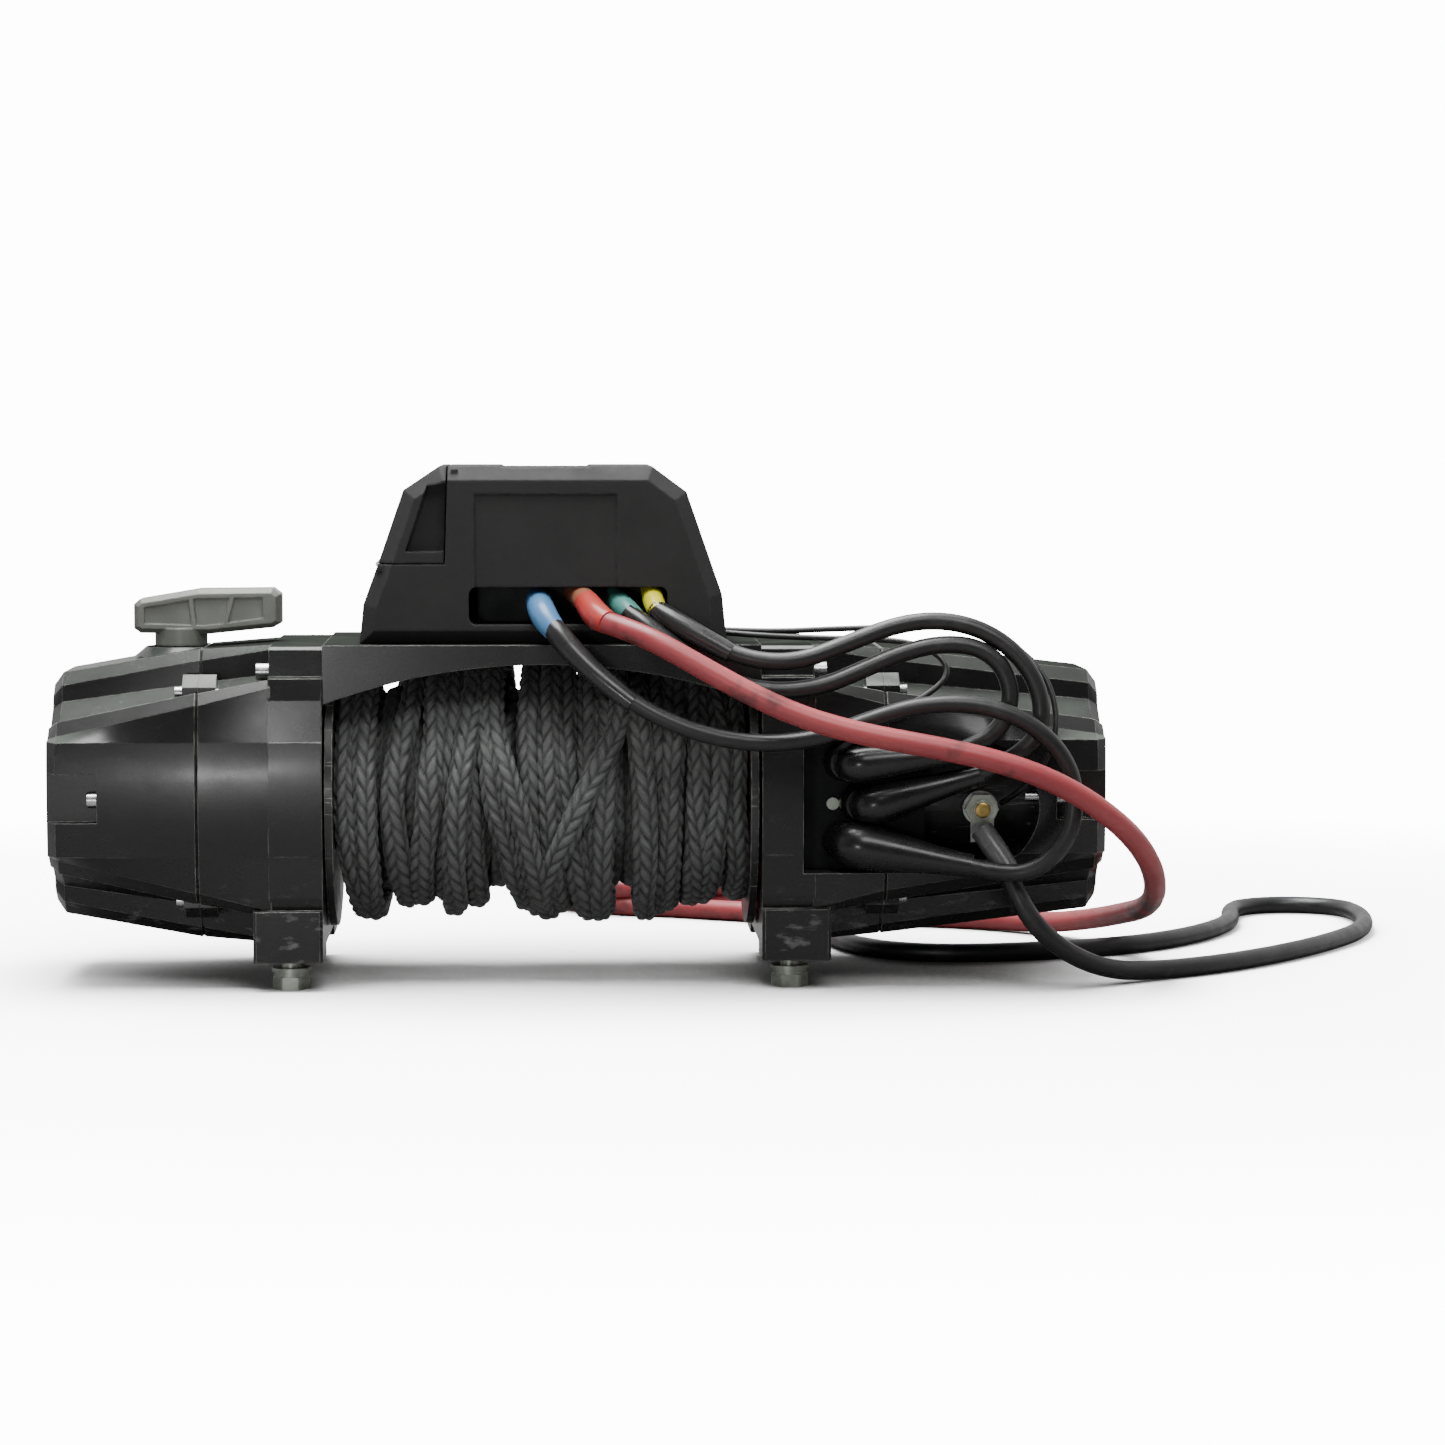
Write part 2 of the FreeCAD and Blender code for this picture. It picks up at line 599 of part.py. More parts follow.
# ---- drum and brake -----------------------------------------------------------------------
def drum():
    left, right = INNER_LEFT + 1, INNER_RIGHT - 1.5
    shapes = [
        rod(left, right, BARREL_R),
        rod(left, left + FLANGE_THICK, FLANGE_R),
        rod(right - FLANGE_THICK, right, FLANGE_R),
        rod(INNER_LEFT - 18, left, TRUNNION_R),
        rod(right, INNER_RIGHT + 18, TRUNNION_R),
    ]
    body = fuse(shapes)
    tools = [
        rod(DRIVE_HUB_END, 92, BARREL_BORE_R),
        rod(INNER_LEFT - 20, DRIVE_HUB_END + 1, DRIVE_HUB_R),
        rod(90, INNER_RIGHT + 20, 12),
        peg(CLAMP_X, AXIS_Z, -BARREL_R - 1, -BARREL_R + 4, 2.5),
    ]
    return cut(body, tools)


def rope_clamp():
    """The small screw that holds the rope's inner end to the barrel."""
    head = peg(CLAMP_X, AXIS_Z, -BARREL_R - 3, -BARREL_R, 4.5)
    return fuse([head, peg(CLAMP_X, AXIS_Z, -BARREL_R, -BARREL_R + 4, 2.5)])


def rope():
    """The wound rope as one plain ring around the barrel."""
    x0, x1 = INNER_LEFT + 1 + FLANGE_THICK + 0.3, INNER_RIGHT - 1.5 - FLANGE_THICK - 0.3
    clamp_room = peg(CLAMP_X, AXIS_Z, -BARREL_R - 4, 0, 5)
    return tube(x0, x1, ROPE_R, BARREL_R + 0.05).cut(clamp_room)


def drum_bushings():
    left = tube(INNER_LEFT - 18.5, INNER_LEFT, BUSHING_R, TRUNNION_R + FIT)
    right = tube(INNER_RIGHT, INNER_RIGHT + 18.5, BUSHING_R, TRUNNION_R + FIT)
    return Part.Compound([left, right])


def brake_shoes():
    """Two half rings that turn with the drum."""
    ring = tube(BRAKE_X0, BRAKE_X1, BARREL_BORE_R, BRAKE_HUB_R + 0.4)
    slit = block(BRAKE_X0 - 1, BRAKE_X1 + 1, -1, 1, AXIS_Z - 40, AXIS_Z + 40)
    return Part.Compound(ring.cut(slit).Solids)


def brake_hub():
    return tube(BRAKE_X0 + 1, BRAKE_X1 - 1, BRAKE_HUB_R, SHAFT_R)


# ---- motor --------------------------------------------------------------------------------
def motor_can():
    shell = tube(CAN_X0, CAN_X1, CAN_R, CAN_R - 3)
    front = tube(CAN_X0, CAN_X0 + 4, RING_OUTER_R - 0.02, 11)
    front = front.cut(block(CAN_X0 - 1, CAN_X0 + 5, -60, PLATE_Y + 3.5, 0, 150))
    back = tube(CAN_X1 - 4, CAN_X1 + 6, 20, 11)
    lid = tube(CAN_X1 - 4, CAN_X1, CAN_R, 11)
    body = fuse([shell, front, back, lid])
    return cut(body, [peg(GROUND_X, GROUND_Z, -50, -38, 3)])


def motor_magnets():
    ring = tube(CAN_X0 + 14, CAN_X1 - 26, CAN_R - 3, CAN_R - 10)
    gap = block(CAN_X0, CAN_X1, -4, 4, AXIS_Z - 60, AXIS_Z + 60)
    cross = gap.copy()
    cross.rotate(V(0, 0, AXIS_Z), V(1, 0, 0), 90)
    both = cut(ring, [gap, cross, peg(GROUND_X, GROUND_Z, -60, -30, 4)])
    return Part.Compound(both.Solids)


def motor_bearings():
    left = tube(CAN_X0, CAN_X0 + 4, 11, SHAFT_R + FIT)
    right = tube(CAN_X1 - 4, CAN_X1 + 4, 11, SHAFT_R + FIT)
    return Part.Compound([left, right])


def armature():
    """The laminated core with its winding slots, and the commutator beside it."""
    x0, x1 = CAN_X0 + 16, CAN_X1 - 28
    core = tube(x0, x1, ARMATURE_R, SHAFT_R)
    slot = block(x0 - 1, x1 + 1, -1.5, 1.5, AXIS_Z + ARMATURE_R - 6, AXIS_Z + ARMATURE_R + 5)
    core = cut(core, ring_copies(slot, 12))
    commutator = tube(x1 + 3, x1 + 16, 13, SHAFT_R)
    return Part.Compound([core, commutator])


def brush_holder():
    plate = tube(CAN_X1 - 10, CAN_X1 - 7, CAN_R - 3, 15)
    brush = block(CAN_X1 - 24, CAN_X1 - 10, -4, 4, AXIS_Z + 13.4, AXIS_Z + 30)
    return fuse([plate] + ring_copies(brush, 4, 45))


# ---- motor terminals ----------------------------------------------------------------------
def terminal_plate():
    plate = block(WINDOW_X0 + 1, 196, PLATE_Y, PLATE_Y + 3, AXIS_Z - 38, AXIS_Z + 28)
    posts = [peg(x, z, PLATE_Y - 3, PLATE_Y + 1, 9.5) for x, z in TERMINALS]
    legs = [block(WINDOW_X0 + 1, WINDOW_X0 + 6, PLATE_Y, -46, AXIS_Z - 38, AXIS_Z + 28)]
    holes = [peg(x, z, -70, -40, 4) for x, z in TERMINALS]
    holes.append(peg(149, 78, -70, -40, 2))
    return cut(fuse([plate] + posts + legs), holes)


def terminal_studs():
    out = [peg(x, z, PLATE_Y - 8, PLATE_Y + 5, 4) for x, z in TERMINALS]
    screw = fuse([peg(149, 78, PLATE_Y, PLATE_Y + 5, 2), peg(149, 78, PLATE_Y - 1.6, PLATE_Y, 3.2)])
    return Part.Compound(out + [screw])


def terminal_boots():
    """Three soft boots, each a bulb over its stud that tapers to its lead."""
    out = []
    for (x, z), end in zip(TERMINALS, BOOT_ENDS):
        centre = V(x, PLATE_Y - 13, z)
        tip = V(*end)
        along = tip - centre
        cone = Part.makeCone(10.2, LEAD_R + 1.3, along.Length, centre, along)
        skirt = peg(x, z, PLATE_Y - 13, PLATE_Y - 3, 9.6)
        boot = fuse([Part.makeSphere(10.2, centre), cone, skirt])
        out.append(cut(boot, [peg(x, z, PLATE_Y - 9, PLATE_Y + 2, 4.1)]))
    return Part.Compound(out)


def ground_terminal():
    """The stud in the motor's case, its spacer and the nut that clamps the ring lug."""
    thin = peg(GROUND_X, GROUND_Z, -68, -38.5, 3)
    stud = fuse([thin, peg(GROUND_X, GROUND_Z, -68.5, -46, 4.5)])
    seat = hexagon(0, 0, 0, 7, 15)
    seat.rotate(V(0, 0, 0), V(1, 0, 0), 90)
    nut = seat.copy()
    nut.translate(V(GROUND_X, PALM_FRONT, GROUND_Z))
    spacer = seat.copy()
    spacer.translate(V(GROUND_X, PALM_FRONT + 9.5, GROUND_Z))
    hole = peg(GROUND_X, GROUND_Z, -80, -30, 4.5)
    return Part.Compound([stud, nut.cut(hole), spacer.cut(hole)])


def ground_lug():
    """The ring lug on the ground stud, with the sleeve over its crimp leaning out of the window."""
    palm = peg(GROUND_X, GROUND_Z, PALM_FRONT, PALM_FRONT + 2.5, 9)
    strap = block(GROUND_X - 5, GROUND_X + 7, PALM_FRONT, PALM_FRONT + 2.5, GROUND_Z - 17.5, GROUND_Z)
    root = V(GROUND_X + 2.5, PALM_FRONT - 2, GROUND_Z - 14)
    along = V(*GROUND_TAIL) - root
    neck = Part.makeCylinder(BLACK_R + 0.2, along.Length, root, along)
    return cut(fuse([palm, strap, neck]), [peg(GROUND_X, GROUND_Z, -70, -50, 4.6)])


# ---- control pack -------------------------------------------------------------------------
PACK_LEFT = [(-91.5, PACK_FLOOR_Z), (-89.5, 180), (-82.0, DOOR_Z), (-69, 238), (-51, 250)]
PACK_RIGHT = [(57, 250), (74.5, 237), (92.5, 185), (95, PACK_FLOOR_Z)]


def inset(points, by):
    """An outline moved inwards by a wall's thickness."""
    wire = Part.makePolygon([V(x, 0, z) for x, z in points + points[:1]])
    return [(v.X, v.Z) for v in wire.makeOffset2D(-by, 2, False, False, True).OrderedVertexes]


def pack_outline():
    return PACK_LEFT + PACK_RIGHT


def closed_outline(points, y):
    return Part.makePolygon([V(x, y, z) for x, z in points + points[:1]])


def bevelled_prism(points, half_deep, bevel):
    """A prism along Y whose front and back faces are drawn in all round by a bevel."""
    rim = closed_outline(points, -half_deep + bevel)
    face = closed_outline(inset(points, bevel), -half_deep)
    body = side_profile(points, -half_deep + bevel, half_deep - bevel)
    front = Part.makeLoft([rim, face], True, True)
    return fuse([body, front, mirrored_y(front)])


def door_room(grow=0.0):
    """The corner of the pack that the socket door fills."""
    x1 = DOOR_X + grow
    z0 = DOOR_Z - grow
    return side_profile([(-120, z0), (x1 - 1.5, z0), (x1 + 0.5, 262), (-120, 262)], -80, 80)


def control_pack_cover():
    outline = pack_outline()
    skin = bevelled_prism(outline, PACK_FRONT, PACK_BEVEL)
    core = side_profile(inset(outline, PACK_WALL), -PACK_FRONT + 8, PACK_FRONT - 8)
    room = side_profile([(-89.5, 150), (93, 150), (92, 166), (-88.5, 166)], -PACK_FRONT + 8, PACK_FRONT - 8)
    body = cut(skin, [core, room])
    shelf = side_profile([(-82.5, DOOR_Z - 3.5), (-43, DOOR_Z - 3.5), (-43, DOOR_Z), (-82, DOOR_Z)], -57, 57)
    wall = side_profile([(-46.5, DOOR_Z - 3), (-43, DOOR_Z - 3), (-41.5, 248.5), (-44.8, 248.5)], -57, 57)
    body = fuse([cut(body, [door_room()]), shelf, wall])
    slot = block(SLOT_X0, SLOT_X1, -PACK_FRONT - 5, -PACK_FRONT + 12, SLOT_LOW, SLOT_HIGH)
    slot = slot.makeFillet(4, [e for e in slot.Edges if abs(e.Vertexes[0].Y - e.Vertexes[-1].Y) > 10])
    top_step = side_profile([(-19, 249.2), (25, 249.2), (29, 252), (-23, 252)], -80, 80)
    low = SLOT_HIGH - 1
    panel = side_profile([(-33, low), (39, low), (39, 236), (-33, 236)], -PACK_FRONT - 1, -PACK_FRONT + 1.2)
    socket_hole = pillar(SOCKET_X, 0, DOOR_Z - 5, DOOR_Z + 1, SOCKET_R)
    return cut(body, [slot, top_step, panel, socket_hole, door_pin()])


def socket_door():
    """The hinged corner over the remote's socket, hollow inside, with a finger recess at its front."""
    low = DOOR_Z + 0.6
    corner = [(-120, low), (-120, 260), (DOOR_X - 0.4, 260), (DOOR_X - 2.2, low)]
    skin = bevelled_prism(pack_outline(), PACK_FRONT, PACK_BEVEL).common(side_profile(corner, -80, 80))
    right = DOOR_X + 5
    hollow = [(-78.5, DOOR_Z - 1), (-65.5, 236), (-51, 246.5), (right, 246.5), (right, DOOR_Z - 1)]
    hollow = side_profile(hollow, -PACK_FRONT + 15, PACK_FRONT - 4)
    scoop = side_profile([(-68, 207), (-40, 207), (-40, 243), (-57, 240)], -PACK_FRONT - 1, -PACK_FRONT + 9)
    return cut(skin, [hollow, scoop, door_pin(DOOR_PIN_R + FIT)])


def remote_socket():
    body = pillar(SOCKET_X, 0, DOOR_Z - 10, SOCKET_TOP_Z, SOCKET_R)
    rim = pillar(SOCKET_X, 0, DOOR_Z, DOOR_Z + 2, SOCKET_R + 1)
    tools = [
        pillar(SOCKET_X, 0, SOCKET_STEP_Z, SOCKET_TOP_Z + 1, SOCKET_BORE_R),
        pillar(SOCKET_X, 0, DOOR_Z + 1, SOCKET_STEP_Z + 0.5, SOCKET_BORE_R - 1),
    ]
    shell = cut(fuse([body, rim]), tools)
    turns = (0.4, 2.0, 3.6, 5.2)
    centres = [(SOCKET_X + 4 * math.cos(a), 4 * math.sin(a)) for a in turns]
    pins = [pillar(x, y, DOOR_Z + 1, SOCKET_STEP_Z - 0.5, 1.0) for x, y in centres]
    return Part.Compound([shell] + pins)


def door_pin(r=DOOR_PIN_R):
    return peg(DOOR_PIN_X, DOOR_Z, -50, 50, r)


def control_pack_base():
    plate = block(-87, 90.5, -PACK_FRONT + 8.5, PACK_FRONT - 8.5, PACK_FLOOR_Z, PACK_FLOOR_Z + 3)
    return plate


def contactor():
    """The reversing contactor: a closed case around its coil and plunger, with four studs at its front."""
    case = block(-32, 74, CONTACTOR_FRONT, 36, PACK_FLOOR_Z + 3, CONTACTOR_TOP_Z)
    bore = pillar(CONTACTOR_X, 4, 182, 216, 9)
    rods = [peg(x, z, CONTACTOR_FRONT - 9, CONTACTOR_FRONT + 6, 3) for x, z in LEAD_STUDS]
    case = cut(case, [bore] + rods)
    return Part.Compound([case] + rods)


def contactor_plunger():
    return fuse([pillar(CONTACTOR_X, 4, 184, 206, 9 - FIT), pillar(CONTACTOR_X, 4, 206, 212, 3)])


def circuit_board():
    top = CONTACTOR_TOP_Z + 1.6
    board = block(-30, 60, -20, 30, CONTACTOR_TOP_Z, top)
    chips = [block(x, x + 12, -8, 6, top, top + 3.4) for x in (-22, 2, 30)]
    return fuse([board] + chips)


def lead_boots():
    """The four coloured boots where the leads leave the contactor."""
    out = []
    for (x, z), end, r in zip(LEAD_STUDS, LEAD_STARTS, LEAD_BOOT_R):
        start = V(x, CONTACTOR_FRONT - 6, z)
        along = V(*end) - start
        boot = Part.makeCylinder(r, along.Length, start, along)
        out.append(cut(boot, [peg(x, z, CONTACTOR_FRONT - 12, CONTACTOR_FRONT, 3.1)]))
    return Part.Compound(out)


# ---- clutch -------------------------------------------------------------------------------
def clutch_lever():
    outline = [
        (-209.5, 166.0), (-209.5, 178.5), (-206.5, 181.2), (-176, 186.3), (-138, 186.6), (-134, 183.5),
        (-134, 168.5), (-137.5, 166.4), (-171, LEVER_LOW_Z), (-206, 163.6),
    ]
    body = bevelled_prism(outline, 11.5, 2.5)
    hub = pillar(LEVER_X, 0, HUB_LOW_Z, LEVER_LOW_Z + 3, 13.5)
    recess = [(-204, 168.5), (-204, 176.8), (-176, 181.5), (-143, 181.8), (-143, 171.2), (-172, 167.5)]
    ribs = [side_profile([(x, 184), (x + 2.5, 184), (x + 2.5 + lean, 165), (x + lean, 165)], -14, -9)
            for x, lean in LEVER_RIBS]
    dish = cut(side_profile(recess, -13, -10), ribs)
    dish_back = mirrored_y(dish)
    return cut(fuse([body, hub]), [dish, dish_back, pillar(LEVER_X, 0, 150, 168, SHAFT_TOP_R)])


def clutch_shaft():
    """The short shaft under the lever, hollow where the clutch pin slides up into it."""
    body = pillar(LEVER_X, 0, 146.3, 168, SHAFT_TOP_R)
    return body.cut(pillar(LEVER_X, 0, 140, 158, CLUTCH_PIN_R + FIT))


def clutch_pin():
    return pillar(LEVER_X, 0, AXIS_Z + 48.5, 149, CLUTCH_PIN_R)


# ---- cable routes -------------------------------------------------------------------------
# x, y, z of the points of each cord. The leads and wires are held by the winch at both ends.
BLUE_LEAD = [
    LEAD_STARTS[0], (11.5, -76.0, 163.0), (29.0, -84.0, 145.0), (54.0, -89.0, 127.0), (82.0, -91.0, 115.5),
    (112.0, -91.0, 111.0), (141.0, -91.0, 114.5), (166.0, -91.5, 124.0), (188.0, -92.5, 130.5),
    (211.0, -93.0, 132.0), (233.0, -93.5, 128.0), (252.0, -93.5, 117.0), (265.0, -93.0, 101.0),
    (269.0, -93.0, 82.0), (265.0, -94.0, 63.5), (252.5, -94.5, 49.5), (235.5, -91.0, 44.0), BOOT_ENDS[2],
]
TEAL_LEAD = [
    LEAD_STARTS[2], (62.0, -73.0, 161.5), (84.0, -80.5, 146.0), (112.0, -84.0, 137.0), (140.0, -84.0, 139.0),
    (162.0, -81.5, 148.0), (182.0, -79.5, 156.5), (202.0, -78.5, 161.0), (220.0, -79.0, 159.5),
    (232.0, -80.0, 151.0), (237.5, -80.5, 137.5), (235.0, -80.0, 123.0), (225.0, -79.5, 111.5), BOOT_ENDS[0],
]
YELLOW_LEAD = [
    LEAD_STARTS[3], (80.0, -74.0, 164.5), (102.0, -82.0, 153.5), (128.0, -84.5, 151.5), (154.0, -80.0, 161.0),
    (179.0, -77.0, 170.5), (201.0, -76.0, 173.0), (222.0, -77.0, 168.5), (239.5, -79.0, 157.0),
    (250.5, -80.5, 141.0), (253.5, -81.0, 123.0), (246.0, -80.5, 106.0), BOOT_ENDS[1],
]
THIN_WIRE_1 = [
    (94.7, -46.0, 165.0), (112.0, -48.0, 163.5), (138.0, -50.0, 162.5), (164.0, -54.0, 162.0),
    (187.0, -57.0, 161.0), (203.0, -64.0, 154.5), (207.0, -71.0, 145.0), (198.0, -75.5, 136.5),
    (184.0, -78.5, 129.0), (169.0, -80.0, 121.0), (157.0, -79.0, 112.0), (149.5, -71.0, 106.0),
    (147.0, -55.2, 103.5),
]
THIN_WIRE_2 = [
    (94.6, -38.0, 166.0), (118.0, -38.5, 165.0), (150.0, -40.0, 166.5), (182.0, -43.0, 167.5),
    (212.0, -50.0, 168.0), (236.0, -60.0, 163.0), (254.0, -68.0, 148.0), (261.0, -74.0, 130.0),
    (260.0, -79.0, 112.0), (253.0, -78.0, 97.0), (244.0, -68.0, 85.0), (235.4, -56.3, 78.0),
]

# The red battery cable runs round the motor end and along the floor behind the winch.
RED_COIL = (75.0, 290.0)
RED_COIL_R = 52.0
RED_COIL_HALF = 12.0
RED_CABLE = [
    LEAD_STARTS[1], (41.0, -86.0, 170.0), (60.0, -94.0, 162.0), (82.0, -100.0, 149.5), (106.0, -105.0, 136.5),
    (131.0, -108.0, 125.5), (160.0, -110.0, 117.5), (191.0, -111.0, 112.0), (222.0, -110.5, 105.5),
    (250.0, -109.5, 96.5), (275.0, -105.0, 83.0), (297.0, -91.0, 65.5), (311.5, -67.0, 47.0),
    (319.0, -34.0, 29.0),
    (320.0, 8.0, 16.0), (315.0, 54.0, 7.5), (304.0, 98.0, -1.0), (284.0, 136.0, -8.0), (252.0, 165.0, -9.25),
    (210.0, 182.0, -9.25), (160.0, 190.0, -9.25), (116.0, 207.0, -9.25),
    (RED_COIL[0], RED_COIL[1] - RED_COIL_R, -9.25),
]

# The black battery cable drops from the ground lug, makes a long loop on the floor beside the motor
# end, comes back under the motor and crosses over the red cable behind the winch.
BLACK_COIL = (205.0, 300.0)
BLACK_COIL_R = 46.0
BLACK_COIL_HALF = 10.5
BLACK_CABLE = [
    GROUND_TAIL, (240.5, -84.0, 33.0), (251.0, -84.5, 16.5), (268.0, -79.0, 2.5), (291.0, -66.0, -7.5),
    (320.0, -46.0, -10.0), (356.0, -22.0, -10.0), (392.0, 14.0, -10.0), (426.0, 58.0, -10.0),
    (454.0, 106.0, -10.0), (468.0, 154.0, -10.0), (470.0, 208.0, -10.0), (455.0, 227.5, -10.0),
    (431.0, 233.5, -10.0), (409.0, 223.5, -10.0), (397.5, 202.0, -10.0), (392.0, 160.0, -10.0),
    (376.0, 122.0, -10.0), (352.0, 86.0, -10.0), (322.0, 58.0, -10.0),
    (286.0, 40.0, -10.0), (250.0, 29.0, -10.0), (217.0, 25.0, -10.0), (188.0, 36.0, -10.0),
    (169.0, 62.0, -10.0), (160.0, 98.0, -10.0), (157.0, 138.0, -9.0), (156.0, 176.0, 6.5),
    (157.5, 207.0, 6.5), (160.0, 244.0, -9.0), (160.0, 270.0, -10.0),
    (BLACK_COIL[0] - BLACK_COIL_R, BLACK_COIL[1], -10.0),
]


def ring_terminal(start, along, radius):
    """A ring lug on a cable's far end: sleeve from start along a level direction, then the flat palm."""
    sleeve = Part.makeCylinder(radius + 0.6, 26, start, along)
    barrel = Part.makeCylinder(radius - 0.8, 12, start + along * 25, along)
    eye = start + along * 48
    palm = Part.makeCylinder(radius + 3.6, 2.4, eye - V(0, 0, 1.2), V(0, 0, 1))
    across = V(-along.y, along.x, 0) * (radius + 1.6)
    corners = [start + along * 36 + across, start + along * 36 - across, eye - across, eye + across]
    corners = [c - V(0, 0, 1.2) for c in corners]
    strap = Part.Face(Part.makePolygon(corners + corners[:1])).extrude(V(0, 0, 2.4))
    hole = Part.makeCylinder(LUG_HOLE_R, 10, eye - V(0, 0, 5), V(0, 0, 1))
    return fuse([sleeve, barrel, palm, strap]).cut(hole)


def cable_end(centre, outer_r, turn, cable_r):
    """The lug on a cable's far end, lying along the outside of its coil, whose turns run clockwise."""
    a = math.radians(turn)
    outward = V(math.cos(a), math.sin(a), 0)
    start = V(centre[0], centre[1], FLOOR_Z + cable_r + 0.6) + outward * (outer_r + cable_r + 0.65)
    return ring_terminal(start, V(math.sin(a), -math.cos(a), 0), cable_r)


def motor_leads():
    return Part.Compound([
        cord_tube("blue lead", BLUE_LEAD, LEAD_R),
        cord_tube("teal lead", TEAL_LEAD, LEAD_R),
        cord_tube("yellow lead", YELLOW_LEAD, LEAD_R),
    ])


def signal_wires():
    return Part.Compound([
        cord_tube("thin wire 1", THIN_WIRE_1, WIRE_R),
        cord_tube("thin wire 2", THIN_WIRE_2, WIRE_R),
    ])


# ---- all sub-parts ------------------------------------------------------------------------
def parts():
    out = {
        "gear_end_support": end_support(-1),
        "motor_end_support": end_support(1),
        "gear_case": gear_case(),
        "motor_cover": motor_cover(),
        "tie_plate": tie_plate(),
        "tie_bolts": tie_bolts(),
        "mounting_bolts": at_bolts(mounting_bolt),
        "bolt_washers": Part.Compound(at_bolts(washer_pair).Solids),
        "foot_nuts": at_bolts(foot_nut),
        "cover_screws": cover_screws(),
        "ring_gear": ring_gear(),
        "stage_1_carrier": carrier(1),
        "stage_2_carrier": carrier(2),
        "output_carrier": carrier(3),
        "drive_shaft": drive_shaft(),
        "drum": drum(),
        "drum_bushings": drum_bushings(),
        "rope": rope(),
        "rope_clamp": rope_clamp(),
        "brake_shoes": brake_shoes(),
        "brake_hub": brake_hub(),
        "motor_can": motor_can(),
        "motor_magnets": motor_magnets(),
        "motor_bearings": motor_bearings(),
        "armature": armature(),
        "brush_holder": brush_holder(),
        "terminal_plate": terminal_plate(),
        "terminal_studs": terminal_studs(),
        "terminal_boots": terminal_boots(),
        "ground_terminal": ground_terminal(),
        "ground_lug": ground_lug(),
        "control_pack_cover": control_pack_cover(),
        "control_pack_base": control_pack_base(),
        "socket_door": socket_door(),
        "door_pin": door_pin(),
        "remote_socket": remote_socket(),
        "contactor": contactor(),
        "contactor_plunger": contactor_plunger(),
        "circuit_board": circuit_board(),
        "lead_boots": lead_boots(),
        "clutch_lever": clutch_lever(),
        "clutch_shaft": clutch_shaft(),
        "clutch_pin": clutch_pin(),
        "motor_leads": motor_leads(),
        "signal_wires": signal_wires(),
        "red_cable": cord_tube("red cable", RED_CABLE, RED_R),
        "red_coil": coil_ring(RED_COIL, RED_COIL_R, RED_COIL_HALF, 23),
        "red_lug": cable_end(RED_COIL, RED_COIL_R + RED_COIL_HALF, 150, RED_R),
        "black_cable": cord_tube("black cable", BLACK_CABLE, BLACK_R),
        "black_coil": coil_ring(BLACK_COIL, BLACK_COIL_R, BLACK_COIL_HALF, 20),
        "black_lug": cable_end(BLACK_COIL, BLACK_COIL_R + BLACK_COIL_HALF, 60, BLACK_R),
    }
    for stage in (1, 2, 3):
        for index, letter in enumerate("abc"):
            out[f"planet_{stage}{letter}"] = planet(stage, index)
    return out


def main():
    os.makedirs("parts", exist_ok=True)
    for name, shape in parts().items():
        if not shape.isValid() or not shape.Solids:
            print("CHECK", name, shape.ShapeType, shape.isValid(), len(shape.Solids))
        shape.exportStep(f"parts/{name}.step")


main()
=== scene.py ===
import json
import math

import bpy
import numpy as np
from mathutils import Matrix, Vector


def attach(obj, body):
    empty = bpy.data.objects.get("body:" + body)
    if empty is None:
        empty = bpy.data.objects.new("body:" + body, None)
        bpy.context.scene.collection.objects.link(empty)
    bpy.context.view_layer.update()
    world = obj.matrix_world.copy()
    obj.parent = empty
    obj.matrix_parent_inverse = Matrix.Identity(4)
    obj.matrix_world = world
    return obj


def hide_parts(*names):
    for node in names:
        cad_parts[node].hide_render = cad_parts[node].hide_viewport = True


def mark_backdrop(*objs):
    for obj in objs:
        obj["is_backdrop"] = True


# An electric planetary winch: looks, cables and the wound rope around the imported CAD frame.
# Metres, +Z up, the drum's axis along X, the cables' side facing -Y. Routes are in millimetres.

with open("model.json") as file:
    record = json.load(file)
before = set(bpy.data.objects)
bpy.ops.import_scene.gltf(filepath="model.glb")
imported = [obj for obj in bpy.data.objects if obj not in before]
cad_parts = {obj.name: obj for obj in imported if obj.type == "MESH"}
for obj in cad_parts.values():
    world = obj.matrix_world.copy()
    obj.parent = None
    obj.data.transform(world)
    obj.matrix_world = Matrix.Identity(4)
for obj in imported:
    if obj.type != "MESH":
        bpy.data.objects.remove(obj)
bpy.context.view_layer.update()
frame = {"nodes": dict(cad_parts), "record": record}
NODES = frame["nodes"]

MM = 0.001
FLOOR_Z = -15 * MM
AXIS_Z = 82.5 * MM
RED_R = 5.75 * MM
BLACK_R = 5.0 * MM
LEAD_R = 4.5 * MM
WIRE_R = 1.5 * MM


# ---- camera -------------------------------------------------------------------------------
CAMERA_AT = (0.0, -2.100, 0.272)
CAMERA_AIM = (0.0453, 1.0, -0.0745)
CAMERA_LENS = 100.4


def make_camera():
    data = bpy.data.cameras.new("camera")
    data.lens = CAMERA_LENS
    data.sensor_width = 36
    camera = bpy.data.objects.new("camera", data)
    camera.location = CAMERA_AT
    camera.rotation_euler = Vector(CAMERA_AIM).to_track_quat("-Z", "Y").to_euler()
    bpy.context.scene.collection.objects.link(camera)
    bpy.context.scene.camera = camera


make_camera()


# ---- cables and leads ---------------------------------------------------------------------
def in_metres(points):
    return [tuple(v * MM for v in p) for p in points]


